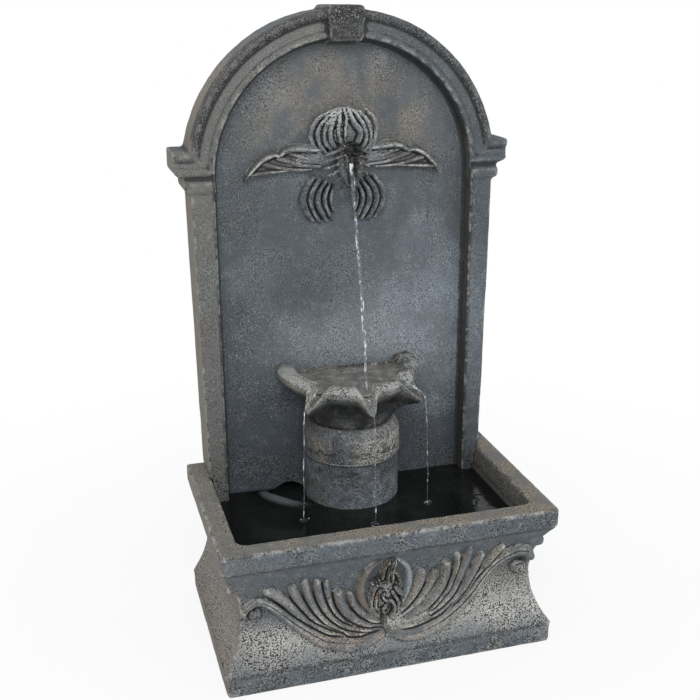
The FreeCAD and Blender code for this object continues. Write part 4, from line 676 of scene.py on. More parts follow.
def pedestal_finish():
    f = Stone("cast_stone_pedestal")
    f.ground(0.12, 0.05)
    collar = f.rise(f.z, 0.2352, 0.2365) * f.rise(f.x + 0.03 * (f.patch - 0.5), -0.045, 0.02)
    f.lay(collar * 0.6, TAN)
    f.lay(collar * f.blots(0.38, 0.56) * 0.75, PALE)
    scratch = f.noise(f.place((1.0, 1.0, 3.2), (0.2, 0.0, 0.0)), 85.0, 3.0, 0.7)
    f.lay(f.rise(scratch, 0.5, 0.57) * f.near(f.z, 0.248, 0.014) * 0.9, INK)
    # Painted shade: a dark line on the drum under the collar's edge.
    f.lay(f.near(f.z, 0.2318, 0.0018) * 0.8, INK)
    drum = f.below(f.z, 0.233, 0.004)
    fine = f.rise(0.35 * f.mottle + 0.65 * f.grain, 0.42, 0.58)
    f.lay(drum * 0.7, f.mix(fine, srgb(62, 68, 74), srgb(172, 180, 186)))
    shadow = f.near(f.z, 0.221, 0.016) * f.rise(f.patch + 0.2 * (f.mottle - 0.5), 0.4, 0.56)
    f.lay(shadow * 0.6, INK)
    glow = f.below(f.z, 0.212, 0.03) * f.rise(f.x, -0.03, 0.03)
    f.lay(glow * f.blots(0.4, 0.56, 0.2, 0.7), srgb(160, 170, 178))
    # Painted highlight: a white line along the collar's lower edge.
    f.lay(f.near(f.z, 0.2352, 0.0022) * 0.85, WHITE)
    # Painted shade: the neck under the bowl is darker.
    f.lay(f.rise(f.z, 0.268, 0.274) * 0.5, SLATE)
    # Pale specks on the drum: water drops, whose glints are painted in.
    drops = f.rise(f.noise(f.here, 480.0, 0.0, 0.3), 0.66, 0.74) * f.blots(0.42, 0.55) * drum
    f.lay(drops * 0.6, srgb(190, 198, 204))
    return f.aged(1.25, wet=0.25 + 0.2 * drum)


def bowl_finish():
    f = Stone("cast_stone_bowl")
    f.ground(0.16, 0.1, GREY)
    f.lay(f.rise(f.z, 0.333, 0.344) * f.rise(f.up, -0.1, 0.4) * 0.75, PALE)
    # Painted shade under the rim, on the downturned underside, which is also wetter and less speckled.
    under = f.below(f.z, 0.335, 0.012) * f.below(f.up, 0.35, 0.5)
    f.lay(under * 0.86, INK)
    # Darker at the ends by the panel: dirt and painted shade.
    f.lay(f.rise(f.y, 0.07, 0.094) * f.blots(0.35, 0.5) * 0.7, INK)
    f.lay(f.rise(f.x, 0.015, 0.05) * f.rise(f.mottle + 0.3 * (f.grain - 0.5), 0.42, 0.54) * 0.75, INK)
    wet = 0.3 + 0.45 * under + 0.3 * f.rise(f.patch, 0.5, 0.6)
    return f.aged(1.05 - 0.7 * under, wet=wet)


def pool_finish():
    """Dark tank water, clearer over the tube."""
    f = Finish("pool_water")
    ripple = f.noise(f.here, 34.0, 3.0, 0.5, 0.4)
    fine = f.noise(f.here, 150.0, 2.0, 0.5)
    tone = f.mix(f.rise(f.noise(f.here, 14.0, 4.0), 0.5, 0.75), srgb(19, 21, 20), srgb(40, 43, 41))
    alpha = 0.88 - 0.58 * f.below(f.reach(f.x + 0.095, f.y - 0.085), 0.07, 0.04)
    bump = f.bump(ripple + 0.25 * fine, 0.35, 0.004)
    return f.close(tone, 0.06 + 0.05 * fine, bump, IOR=WATER_IOR, Alpha=alpha)


def bowl_water_finish():
    """Churned water over pale stone: brown-grey, with few glints."""
    f = Finish("bowl_water")
    ripple = f.noise(f.here, 60.0, 3.0, 0.6, 0.6)
    fine = f.noise(f.here, 260.0, 2.0, 0.5)
    tone = f.mix(f.rise(ripple, 0.4, 0.62), srgb(112, 109, 104), srgb(140, 137, 132))
    tone = f.mix(f.rise(fine + 0.4 * ripple, 0.86, 0.94), tone, srgb(205, 208, 208))
    bump = f.bump(ripple + 0.3 * fine, 0.4, 0.004)
    return f.close(tone, 0.09 + 0.08 * fine, bump, IOR=WATER_IOR, Alpha=0.8)


def stream_finish():
    """Falling water: see-through, with white beads and glints along it."""
    f = Finish("falling_water")
    streak = f.noise(f.place((1.0, 1.0, 0.3)), 240.0, 2.0, 0.5)
    bead = f.noise(f.place((1.0, 1.0, 0.8), (0.3, 0.1, 0.2)), 130.0, 2.0, 0.5)
    bright = f.rise(streak + 0.6 * (bead - 0.5), 0.52, 0.7)
    tone = f.mix(bright, srgb(140, 148, 155), srgb(236, 240, 242))
    rough = 0.05 + 0.1 * f.noise(f.here, 300.0, 1.0)
    return f.close(tone, rough, None, IOR=WATER_IOR, Alpha=0.13 + 0.55 * bright)


def banded(name, scale, twist, dark, light, rough, metal, strength, distance):
    """Metal in fine bands along the pump: its roughness is a number, or two that the bands run between."""
    f = Finish(name)
    values = {"Vector": f.here, "Scale": scale, "Distortion": twist}
    bands = f.node("ShaderNodeTexWave", {"bands_direction": "Y"}, values, "Fac")
    if isinstance(rough, tuple):
        rough = rough[0] + (rough[1] - rough[0]) * bands
    return f.close(f.mix(bands, dark, light), rough, f.bump(bands, strength, distance), Metallic=metal)


def copper_winding():
    return banded(
        "copper_winding", 360.0, 0.4, srgb(96, 44, 22), srgb(196, 108, 62), (0.28, 0.38), 0.85, 0.7, 0.0005
    )


def laminations():
    return banded(
        "laminated_steel", 300.0, 0.0, srgb(58, 58, 62), srgb(104, 104, 108), 0.42, 0.7, 0.5, 0.0004
    )


def plain(name, colour, shade, rough, metal=0.0, bump=0.15, scale=220.0, **sockets):
    """A made material: an even colour with faint mottling, fine scuffs and its own gloss."""
    f = Finish(name)
    cloud = f.noise(f.here, scale * 0.25, 3.0)
    fine = f.noise(f.here, scale, 4.0, 0.6)
    tone = f.mix(f.rise(cloud, 0.35, 0.7), srgb(*colour), srgb(*shade))
    return f.close(tone, rough + 0.18 * (fine - 0.5), f.bump(fine, bump, 0.0006), Metallic=metal, **sockets)


FINISHES = {
    "cast_stone_basin": basin_finish,
    "cast_stone_panel": panel_finish,
    "cast_stone_iris": iris_finish,
    "cast_stone_leaves": acanthus_finish,
    "cast_stone_bud": bud_finish,
    "cast_stone_sheath": sheath_finish,
    "cast_stone_pedestal": pedestal_finish,
    "cast_stone_bowl": bowl_finish,
    "pool_water": pool_finish,
    "bowl_water": bowl_water_finish,
    "falling_water": stream_finish,
    "laminated_steel": laminations,
    "copper_winding": copper_winding,
}
# Colour, second colour and roughness, then what differs from the usual.
PLAIN = {
    "black_rubber": ((30, 30, 30), (44, 43, 42), 0.7, {"bump": 0.3}),
    "stainless_steel": ((196, 197, 198), (170, 171, 173), 0.3, {"metal": 1.0, "bump": 0.1, "scale": 700.0}),
    "plain_brass": ((196, 158, 92), (160, 122, 66), 0.34, {"metal": 1.0, "bump": 0.1, "scale": 500.0}),
    "aged_brass": ((52, 46, 36), (30, 28, 25), 0.5, {"metal": 0.6, "bump": 0.3, "scale": 300.0}),
    "clear_hose": ((196, 206, 206), (172, 184, 186), 0.18, {"bump": 0.05, "Alpha": 0.72, "IOR": 1.45}),
    "clip_nylon": ((36, 36, 37), (52, 52, 53), 0.5, {}),
    "pump_shell": ((24, 25, 27), (38, 39, 42), 0.32, {"bump": 0.25, "scale": 400.0, "Coat_Weight": 0.2}),
    "impeller_nylon": ((206, 205, 198), (188, 187, 178), 0.42, {}),
    "ferrite": ((44, 43, 44), (66, 64, 62), 0.55, {"bump": 0.3, "scale": 600.0}),
    "white_ceramic": ((232, 231, 226), (216, 214, 206), 0.16, {"bump": 0.04}),
}


def finish(name):
    """The material of that name, made when it is first asked for."""
    made = bpy.data.materials.get(name)
    if made:
        return made
    if name in FINISHES:
        return FINISHES[name]()
    *looks, others = PLAIN[name]
    return plain(name, *looks, **others)


NODE_FINISHES = {
    "black_rubber": ("bowl_gasket", "cord_grommet", "cover_seal", "suction_cups"),
    "stainless_steel": ("fixing_bolts", "fixing_washers", "hose_clamps"),
    "plain_brass": ("threaded_inserts",),
    "aged_brass": ("spout_elbow", "spout_pipe"),
    "clear_hose": ("water_tube",),
    "clip_nylon": ("tube_clips", "cord_gland"),
    "pump_shell": ("pump_housing", "pump_end_cap", "pump_cover", "strainer", "flow_dial"),
    "impeller_nylon": ("impeller",),
    "ferrite": ("rotor_magnet",),
    "white_ceramic": ("impeller_shaft", "shaft_bushes"),
    "laminated_steel": ("stator_core",),
    "copper_winding": ("stator_coil",),
}


# ---------------------------------------------------------------- settings


class FountainCastings(bpy.types.PropertyGroup):
    """Sizes of the four castings' surfaces."""

    basin_grain: FloatProperty(
        name="Basin grain", description="Mesh step of the basin", default=0.0028, unit="LENGTH"
    )
    panel_grain: FloatProperty(
        name="Panel grain", description="Mesh step of the back panel", default=0.0022, unit="LENGTH"
    )
    pedestal_grain: FloatProperty(
        name="Pedestal grain", description="Mesh step of the half drum", default=0.0019, unit="LENGTH"
    )
    bowl_grain: FloatProperty(
        name="Bowl grain", description="Mesh step of the catch bowl", default=0.0015, unit="LENGTH"
    )
    relief_grain: FloatProperty(
        name="Relief grain", description="Mesh step of the leaves and petals", default=0.00085, unit="LENGTH"
    )
    bud_grain: FloatProperty(
        name="Bud grain", description="Mesh step of the bud and its sheath", default=0.0006, unit="LENGTH"
    )
    crown_grain: FloatProperty(
        name="Crown grain", description="Mesh step of the iris's crown", default=0.0009, unit="LENGTH"
    )
    wear: FloatProperty(
        name="Wear", description="How deep the castings' faces are worn", default=0.0009, unit="LENGTH"
    )
    most_triangles: IntProperty(
        name="Most triangles", description="Triangles that one casting may have", default=185000
    )


class FountainWater(bpy.types.PropertyGroup):
    """Water levels and streams."""

    tank_level: FloatProperty(
        name="Tank level", description="Height of the tank's water", default=0.168, unit="LENGTH"
    )
    bowl_level: FloatProperty(
        name="Bowl level", description="Height of the bowl's water", default=0.347, unit="LENGTH"
    )
    jet_width: FloatProperty(
        name="Jet width", description="Width of the spout's stream", default=0.0034, unit="LENGTH"
    )
    thread_width: FloatProperty(
        name="Thread width", description="Width of the bowl's streams", default=0.0017, unit="LENGTH"
    )


class FountainStage(bpy.types.PropertyGroup):
    """Camera and light."""

    lens: FloatProperty(name="Lens", description="Focal length in millimetres", default=54.21)
    key_power: FloatProperty(name="Key", description="Power of the key light", default=44.0, unit="POWER")
    fill_power: FloatProperty(name="Fill", description="Power of the fill light", default=14.0, unit="POWER")
    sky: FloatProperty(name="Sky", description="Strength of the even light from all round", default=0.55)
    floor_tone: FloatVectorProperty(
        name="Floor", description="Colour of the floor", default=(0.86, 0.86, 0.86), subtype="COLOR", size=3
    )


# ---------------------------------------------------------------- pieces


class FountainPiece:
    """What every operator here shares."""

    bl_options = {"REGISTER", "UNDO"}

    def execute(self, context):
        self.make(context.scene)
        return {"FINISHED"}


def dress(scene, node, label, rounds, size, press=None, shape=None, wear=1.0):
    """Dresses a packed casting: its copy is pressed flat where carving comes, remeshed, shaped and worn."""
    castings = scene.fountain_castings
    name = label + "_casting"
    piece = merged_copy(node, name)
    if press:
        move_points(piece, press)
    grain = getattr(castings, label + "_grain")
    weather(piece, grain, rounds, castings.wear * wear, size, castings.most_triangles, shape)
    finished(piece, name, "cast_stone_" + label, [node])


class FOUNTAIN_OT_basin(FountainPiece, bpy.types.Operator):
    """Tank with its coved skirt"""

    bl_idname = "fountain.basin"
    bl_label = "Basin"

    def make(self, scene):
        def press(x, y, z):
            """The solid's coarse leaves go back to the cove: the fine ones stand there instead."""
            cove = FRONT + cove_inset(z)
            if in_cove(z) and y < cove - PROUD and abs(x) < LEAVES_HALF:
                return x, cove + BURIED, z
            return x, y, z

        def round_cove(x, y, z):
            """The solid's cove is a few flat strips: here it is a true hollow."""
            if in_cove(z):
                inset = cove_inset(z)
                if abs(y - FRONT - inset) < COVE_SLACK and abs(x) < BASIN_HALF - 2 - inset:
                    return x, FRONT + inset, z
                if abs(abs(x) - BASIN_HALF + inset) < COVE_SLACK and y > FRONT + inset + 2:
                    return math.copysign(BASIN_HALF - inset, x), y, z
            return x, y, z

        dress(scene, "basin", "basin", rounds=3, size=0.03, press=press, shape=round_cove)


class FOUNTAIN_OT_panel(FountainPiece, bpy.types.Operator):
    """Arched back panel"""

    bl_idname = "fountain.panel"
    bl_label = "Back panel"

    def make(self, scene):
        def press(x, y, z):
            """The solid's coarse iris goes back to the field: the fine one stands there instead."""
            near = math.hypot(x, z - ARCH_CENTRE_Z) < IRIS_REACH and IRIS_LOW < z < IRIS_HIGH
            return (x, FIELD + BURIED, z) if near and y < FIELD - PROUD else (x, y, z)

        dress(scene, "back_panel", "panel", rounds=3, size=0.035, press=press)


class FOUNTAIN_OT_pedestal(FountainPiece, bpy.types.Operator):
    """Half drum that carries the bowl"""

    bl_idname = "fountain.pedestal"
    bl_label = "Pedestal"

    def make(self, scene):
        def round_drum(x, y, z):
            """The solid's drum has flats: here they are rounded out."""
            if y >= FIELD - 2:
                return x, y, z
            turn = math.atan2(x, DRUM_AXIS_Y - y)
            slip = turn % (math.tau / DRUM_FLATS) - math.pi / DRUM_FLATS
            grow = math.cos(slip) / math.cos(math.pi / DRUM_FLATS)
            return x * grow, DRUM_AXIS_Y + (y - DRUM_AXIS_Y) * grow, z

        dress(scene, "pedestal", "pedestal", rounds=3, size=0.03, shape=round_drum, wear=0.7)


class FOUNTAIN_OT_bowl(FountainPiece, bpy.types.Operator):
    """Scalloped catch bowl"""

    bl_idname = "fountain.bowl"
    bl_label = "Catch bowl"

    def make(self, scene):
        dress(scene, "catch_bowl", "bowl", rounds=20, size=0.02)


# Carved lines: points from the root outwards, each x, z and the width there. The fans differ, as carved
# by hand.
LEFT_ARM = (
    (-17, 54, 10), (-46, 47, 14), (-74, 50, 16), (-95, 56, 16), (-114, 69, 15), (-133, 85, 14),
    (-150, 102, 12), (-163, 115, 11), (-177, 123, 10), (-189, 119, 9), (-196, 111, 8), (-195, 100, 5),
)
LEFT_LEAVES = (
    ((-16, 55, 5), (-53, 50, 8), (-73, 56, 10), (-96, 67, 11), (-114, 79, 12), (-127, 95, 12),
     (-140, 113, 12.5), (-154, 128, 12.5), (-166, 137, 11)),
    ((-70, 60, 5), (-93, 71, 8), (-110, 88, 11), (-121, 105, 12), (-129, 123, 12), (-135, 137, 11)),
    ((-16, 55, 5), (-38, 54, 7), (-66, 61, 8), (-83, 72, 9), (-96, 85, 10), (-107, 104, 10.5),
     (-114, 125, 10.5), (-118, 143, 9.5)),
    ((-15, 58, 5), (-44, 61, 7), (-65, 68, 8.5), (-81, 81, 9.5), (-92, 99, 10.5), (-99, 122, 10.5),
     (-102, 141, 10)),
    ((-45, 63, 5), (-58, 68, 7), (-71, 79, 8.5), (-82, 97, 9), (-87, 118, 9), (-90, 137, 8)),
    ((-13, 62, 5), (-32, 65, 8), (-50, 75, 10.5), (-62, 87, 12.5), (-70, 103, 13), (-73, 117, 12)),
    ((-15, 65, 5), (-30, 71, 8), (-42, 83, 9.5), (-52, 97, 9.5), (-56, 110, 9)),
)
LEFT_EYE = (-183, 105, 15)
RIGHT_ARM = (
    (-5, 52, 9), (16, 47, 13), (39, 48, 15), (64, 55, 15), (83, 64, 14), (101, 76, 13), (115, 90, 12),
    (127, 106, 11.5), (137, 119, 11), (148, 130, 12), (160, 138, 14), (174, 143, 16), (188, 140, 16),
    (197, 128, 12),
)
RIGHT_LEAVES = (
    ((71, 64, 5), (90, 75, 7), (104, 84, 8), (118, 99, 9), (129, 117, 9.5), (138, 135, 9.5),
     (146, 147, 9), (151, 155, 8)),
    ((-2, 54, 4), (10, 54, 5), (40, 57, 6), (62, 64, 7), (81, 75, 8), (95, 87, 9), (106, 101, 10),
     (114, 116, 10.5), (120, 133, 11), (123, 144, 10)),
    ((53, 67, 5), (71, 77, 7), (85, 91, 9), (93, 107, 10.5), (98, 125, 11.5), (102, 142, 12), (103, 156, 11)),
    ((55, 72, 4), (68, 85, 6), (80, 99, 7.5), (87, 116, 8), (90, 133, 8), (88, 151, 7.5)),
    ((20, 66, 5), (34, 71, 7), (48, 78, 9), (62, 90, 10.5), (71, 104, 11), (76, 123, 12), (75, 139, 11)),
    ((15, 72, 4), (27, 80, 6), (38, 88, 8), (49, 102, 9), (57, 117, 9), (59, 128, 8)),
    ((-1, 70, 5), (13, 79, 8), (23, 88, 10), (32, 100, 12), (39, 115, 13), (41, 127, 12)),
)
RIGHT_EYE = (181, 114, 20)
BUD_PETALS = (
    ((-21, 122, 5), (-26, 114, 7), (-29, 103, 8), (-29, 92, 7.5), (-24, 84, 5)),
    ((3, 116, 5), (8, 107, 7), (15, 100, 7.5), (13, 92, 8), (11, 86, 7), (5, 80, 5)),
    ((-16, 115, 4), (-21, 108, 6), (-23, 99, 6.5), (-23, 90, 6), (-19, 84, 4)),
    ((-1, 110, 4), (4, 101, 6), (8, 93, 6), (7, 85, 5)),
    ((-10, 125, 5), (-15, 134, 6.5), (-15, 145, 6.5), (-12, 156, 5.5), (-8, 163, 4)),
    ((-6, 123, 4), (-8, 133, 6), (-7, 144, 6), (-5, 156, 5), (-5, 164, 4)),
    ((-2, 124, 4), (-1, 131, 6), (-2, 141, 6), (-1, 150, 5), (0, 160, 4)),
    ((5, 119, 4), (9, 123, 6), (7, 132, 6.5), (2, 140, 5)),
    ((-11, 108, 4), (-13, 102, 5.5), (-7, 96, 6), (-2, 96, 6.5), (2, 89, 7), (2, 82, 6.5), (-3, 76, 6),
     (-10, 74, 5)),
    ((-9, 92, 4), (-11, 88, 5), (-14, 86, 5), (-12, 81, 5), (-7, 83, 4.5), (-4, 87, 3)),
)
BERRIES = ((-28, 126), (-23, 129), (-19, 132), (-15, 133), (0, 125), (4, 123), (8, 121))
SHEATHS = (
    ((-20, 164, 5), (-33, 152, 9), (-41, 133, 12), (-43, 115, 13), (-40, 100, 12), (-32, 88, 10),
     (-22, 77, 6)),
    ((3, 162, 4), (18, 145, 8), (23, 128, 10), (23, 112, 9.5), (18, 98, 9), (12, 87, 8), (3, 77, 5)),
)
CROWN_RIBS = (
    ((-19, 705), (-36, 695), (-44, 679), (-44, 667), (-38, 656), (-30, 647), 8.0),
    ((-15, 705), (-29, 694), (-38, 679), (-36, 665), (-28, 653), 8.0),
    ((-14, 703), (-25, 691), (-31, 678), (-29, 666), (-19, 655), 7.5),
    ((-10, 705), (-20, 691), (-24, 676), (-19, 662), (-10, 653), 7.5),
    ((-7, 709), (-11, 694), (-14, 681), (-11, 668), (-6, 661), 7.0),
    ((-2, 709), (-2, 697), (-5, 681), (-5, 669), 6.0),
    ((3, 708), (7, 693), (16, 678), (12, 667), (5, 662), 9.0),
    ((10, 706), (19, 691), (24, 678), (23, 664), (16, 656), 8.0),
    ((19, 704), (30, 688), (32, 675), (30, 661), (19, 652), 8.0),
    ((31, 705), (43, 691), (45, 676), (39, 662), (32, 649), 8.0),
)
PETAL_BODY = (
    (26, 650, 34), (44, 647, 32), (66, 644, 29), (84, 641, 25), (106, 636, 20), (122, 628, 14), (133, 620, 5),
)
PETAL_FLUTES = (
    ((33, 648, 8), (44, 650, 12), (57, 653, 13)),
    ((33, 641, 8), (52, 645, 12), (74, 653, 13)),
    ((34, 634, 7), (60, 637, 11), (90, 647, 13)),
    ((46, 630, 6), (78, 632, 9), (110, 640, 12)),
    ((70, 631, 5), (100, 629, 8), (126, 627, 8)),
)
PETAL_TOP = (
    (30, 656, 10), (46, 656, 12), (60, 658, 13), (72, 658, 13), (82, 655, 11), (89, 650, 9), (97, 651, 10),
    (108, 647, 11), (119, 639, 10), (128, 629, 8), (135, 619, 4),
)
FALL_RIBS = (
    ((41, 619, 6), (53, 603, 9), (57, 588, 10), (53, 574, 9.5), (44, 561, 6)),
    ((32, 616, 6), (44, 600, 9), (47, 585, 9.5), (43, 570, 9), (34, 559, 6)),
    ((25, 612, 5), (35, 597, 8), (36, 582, 8.5), (30, 569, 8), (25, 559, 5)),
    ((20, 608, 5), (26, 594, 7), (26, 581, 7), (21, 568, 6.5), (16, 560, 4)),
    ((14, 606, 4), (18, 594, 5.5), (18, 583, 5.5), (15, 572, 4)),
)
BUD_CORE = ((-10, 82, 20), (-10, 96, 34), (-9, 112, 36), (-7, 130, 28), (-5, 150, 18), (-4, 160, 8))
BUD_STALK = ((-10, 48, 6), (-11, 58, 8), (-12, 66, 11), (-11, 74, 9))

# The sheets that they are carved on: left, right, low and high.
LEFT_SHEET = (-212, -2, 32, 168)
RIGHT_SHEET = (-12, 212, 32, 168)
BUD_SHEET = (-62, 38, 50, 172)
SHEATH_SHEET = (-62, 38, 60, 172)
PETAL_SHEET = (-146, 146, 604, 676)
FALL_SHEET = (-68, 68, 546, 628)

# Lines in space, each point x, y and z: the hanging lip, and the roll along its edge.
LIP_SPINE = ((2, 80, 650), (2, 76, 638), (1, 70, 626), (0, 66, 613))
LIP_ROLL = ((10, 72, 661), (14, 67, 650), (14, 65, 638), (10, 63, 626), (4, 62, 612))
# How far the curls beside the lip reach, from the top down.
CURL_REACHES = (27, 29, 28, 24, 18, 10)
# The spout's water: the y and z on its way down, its mesh step and the triangles that it may have.
JET_PATH = (
    (60, 640), (54.5, 624), (51.5, 610), (44, 582), (35, 549), (24, 510), (12, 470), (2, 425), (-5.5, 380),
    (-8.5, 348),
)
JET_GRAIN = 0.0008
JET_TRIANGLES = 120000


def flipped(line, side):
    return [(x * side, *rest) for x, *rest in line]


def widened(line, share):
    return [(x, z, width * share) for x, z, width in line]


class FOUNTAIN_OT_leaves(FountainPiece, bpy.types.Operator):
    """Acanthus fans and their scrolls on the basin's front"""

    bl_idname = "fountain.leaves"
    bl_label = "Acanthus leaves"

    def make(self, scene):
        step = scene.fountain_castings.relief_grain / MM
        for name, sheet, arm, leaves, eye in (
            ("leaves_left", LEFT_SHEET, LEFT_ARM, LEFT_LEAVES, LEFT_EYE),
            ("leaves_right", RIGHT_SHEET, RIGHT_ARM, RIGHT_LEAVES, RIGHT_EYE),
        ):
            fan = Carving(*sheet, step)
            for leaf in reversed(leaves):
                fan.ridge(widened(leaf, 1.15), tall=10.0, moat=1.2, sunk=0.42, full=0.6)
            fan.ridge(widened(arm, 1.12), tall=14.0, moat=1.12, sunk=0.4)
            fan.groove([(x, z + w * 0.2, w * 0.22) for x, z, w in arm[1:-1]], deep=1.4)
            self.scroll(fan, eye)
            finished(fan.skin(name, on_cove), name, "cast_stone_leaves")

    def scroll(self, fan, eye):
        """The round end of an arm, with a line wound into it."""
        x, z, wide = eye
        fan.ridge(((x - 0.5, z, wide), (x + 0.5, z, wide)), tall=12.0, moat=1.4, sunk=0.08, full=0.4)
        side = math.copysign(1.0, x)
        turn = [
            (x + side * wide * r * math.cos(a), z + wide * r * math.sin(a), 2.4)
            for r, a in ((0.4, 2.4), (0.36, 1.2), (0.3, 0.0), (0.24, -1.2), (0.16, -2.6), (0.06, -4.0))
        ]
        fan.groove(turn, deep=1.8)


class FOUNTAIN_OT_bud(FountainPiece, bpy.types.Operator):
    """Flower bud in its sheath in the middle of the basin's front"""

    bl_idname = "fountain.bud"
    bl_label = "Bud"

    def make(self, scene):
        step = scene.fountain_castings.bud_grain / MM
        bud = Carving(*BUD_SHEET, step)
        bud.ridge(BUD_CORE, tall=8.0, moat=1.0, sunk=0.0)
        for petal in BUD_PETALS:
            bud.ridge(widened(petal, 1.05), tall=13.0, moat=1.3, sunk=0.42)
        for x, z in BERRIES:
            bud.ridge(((x - 0.4, z, 5.2), (x + 0.4, z, 5.2)), tall=11.5, moat=1.35, sunk=0.45)
        bud.ridge(BUD_STALK, tall=9.0, moat=1.3, sunk=0.3)
        finished(bud.skin("bud", on_cove, rounds=1, wear=0.0009), "bud", "cast_stone_bud")
        sheath = Carving(*SHEATH_SHEET, step)
        for half in SHEATHS:
            sheath.ridge(half, tall=9.5, moat=1.0, sunk=0.0, full=0.45)
            sheath.groove([(x * 0.86 - 1.4, z, 2.0) for x, z, _ in half[1:-1]], deep=1.0)
        name = "bud_sheath"
        finished(sheath.skin(name, on_cove), name, "cast_stone_sheath")


class FOUNTAIN_OT_iris(FountainPiece, bpy.types.Operator):
    """Iris flower round the spout"""

    bl_idname = "fountain.iris"
    bl_label = "Iris"

    def make(self, scene):
        castings = scene.fountain_castings
        crown = self.crown()
        most = castings.most_triangles
        wear = {"wear": 0.002, "size": 0.005}
        weather(crown, castings.crown_grain, rounds=2, triangles=most, shape=self.throat, **wear)
        finished(crown, "iris_crown", "cast_stone_iris")
        step = castings.relief_grain / MM
        finished(self.petals(step), "iris_petals", "cast_stone_iris")
        finished(self.falls(step), "iris_falls", "cast_stone_iris")

    def crown(self):
        """The domed upper petals with their ribs, the mouth and the hanging lip."""

        def dome(x, z):
            flat = 1 - (x / 45) ** 2 - ((z - 674) / 40) ** 2
            return 99 - 31 * math.sqrt(max(flat, 0.02))

        parts = [egg((0, 99, 674), (41.0, 27.0, 36.0))]
        for *line, width in CROWN_RIBS:
            spine = [(x, dome(x, z) + 0.6, z) for x, z in line]
            parts.append(strand(spine, [width * 0.75, *[width] * (len(line) - 2), width * 0.8]))
        parts.append(strand(LIP_SPINE, (24, 24, 18, 9)))
        for side in (-1, 1):
            parts.append(strand(flipped(LIP_ROLL, side), (9, 15, 17, 15, 9)))
            for k, reach in enumerate(CURL_REACHES):
                z = 656 - 8.6 * k
                reach *= 1.0 if side > 0 else 1.25
                inner = (5, 64 - k, z + 5), (reach * 0.5, 59.5, z + 2)
                outer = (reach * 0.9, 62, z - 3), (reach, 71, z - 6)
                parts.append(strand(flipped(inner + outer, side), (3, 5.5, 6, 4.5)))
        return join(parts)

    def throat(self, x, y, z):
        """Sinks the mouth and the channel that runs from it down the lip."""
        mouth = max(0.0, 1 - math.hypot(x - 4, z - 657) / 10.5)
        channel = max(0.0, 1 - abs(x - 3) / 8) * min(max(z - 612, 0) / 8, max(657 - z, 0) / 8, 1.0)
        return x, max(y, min(y + 12 * mouth ** 0.7 + 5 * channel, 76)), z

    def petals(self, step):
        """The two drooping side petals, fluted, with a rolled upper edge."""
        petals = Carving(*PETAL_SHEET, step)
        for side in (-1, 1):
            petals.ridge(flipped(PETAL_BODY, side), tall=11.0, moat=1.0, sunk=0.0, full=0.4)
            for flute in PETAL_FLUTES:
                petals.ridge(flipped(flute, side), tall=12.0, moat=1.1, sunk=0.88)
            petals.ridge(flipped(PETAL_TOP, side), tall=17.0, moat=1.0, sunk=1.0, full=0.7)
        return petals.skin("iris_petals", on_field)

    def falls(self, step):
        """The two lower petals, each of crescent ribs."""
        falls = Carving(*FALL_SHEET, step)
        for side in (-1, 1):
            for rib in reversed(FALL_RIBS):
                falls.ridge(widened(flipped(rib, side), 1.12), tall=9.0, moat=1.2, sunk=0.45)
        return falls.skin("iris_falls", on_field)


def ripple_height(x, y, spots, reach):
    """The height of rings that spread from where streams land, in millimetres."""
    height = 0.0
    for sx, sy, strength in spots:
        away = math.hypot(x - sx, y - sy)
        height += strength * math.sin(away * 0.9) * math.exp(-away / reach)
    return height


class FOUNTAIN_OT_water(FountainPiece, bpy.types.Operator):
    """Still water of the tank and the bowl"""

    bl_idname = "fountain.water"
    bl_label = "Water"

    def make(self, scene):
        water = scene.fountain_water
        self.pool(water.tank_level / MM)
        self.bowl(water.bowl_level / MM)

    def settle(self, sheet, rule, depth, name):
        """Shapes a sheet into a water surface and gives it depth."""
        move_points(sheet, rule)
        modify(sheet, "SOLIDIFY", thickness=depth, offset=-1.0)
        finished(smooth(sheet), name, name)

    def pool(self, level):
        spots = [(x, y - 9.0, 0.45) for x, y, _ in LIP_TIPS]

        def lay(x, y, z):
            """A sheet that fills the tank, with rings where the bowl's streams land."""
            x, y = POOL_HALF_WIDTH * x, POOL_MIDDLE_Y + POOL_HALF_DEPTH * y
            swell = 0.25 * math.sin(x * 0.06 + 1.0) * math.cos(y * 0.08)
            return x, y, level + swell + ripple_height(x, y, spots, 16.0)

        sheet = added(bpy.ops.mesh.primitive_grid_add, x_subdivisions=150, y_subdivisions=96, size=2 * MM)
        self.settle(sheet, lay, 0.004, "pool_water")

    def bowl(self, level):
        def fill(x, y, z):
            """A round pool that is cut off at the panel and reaches into the three lips."""
            turn = math.degrees(math.atan2(x, -y))
            lip = max(0.0, 1 - min(abs(turn - k * LIP_TURN) for k in (-1, 0, 1)) / 13.0)
            beyond = min(max(abs(turn) - LIP_TURN, 0.0) / LIP_TURN, 1.0)
            reach = 69.0 + 13.0 * lip ** 0.6 + 17.0 * beyond
            dip = 3.5 * lip * max(0.0, math.hypot(x, y) - 0.75) * 4
            x, y = x * reach, DRUM_AXIS_Y + y * reach
            rings = ripple_height(x, y, ((0.0, -7.0, 0.9), (0.0, 2.0, 0.3)), 14.0)
            return x, min(y, BOWL_WATER_BACK), level + rings - dip

        sheet = added(bpy.ops.mesh.primitive_circle_add, vertices=96, radius=MM, fill_type="TRIFAN")
        edit("SELECT", bpy.ops.mesh.subdivide, number_cuts=24)
        self.settle(sheet, fill, 0.003, "bowl_water")


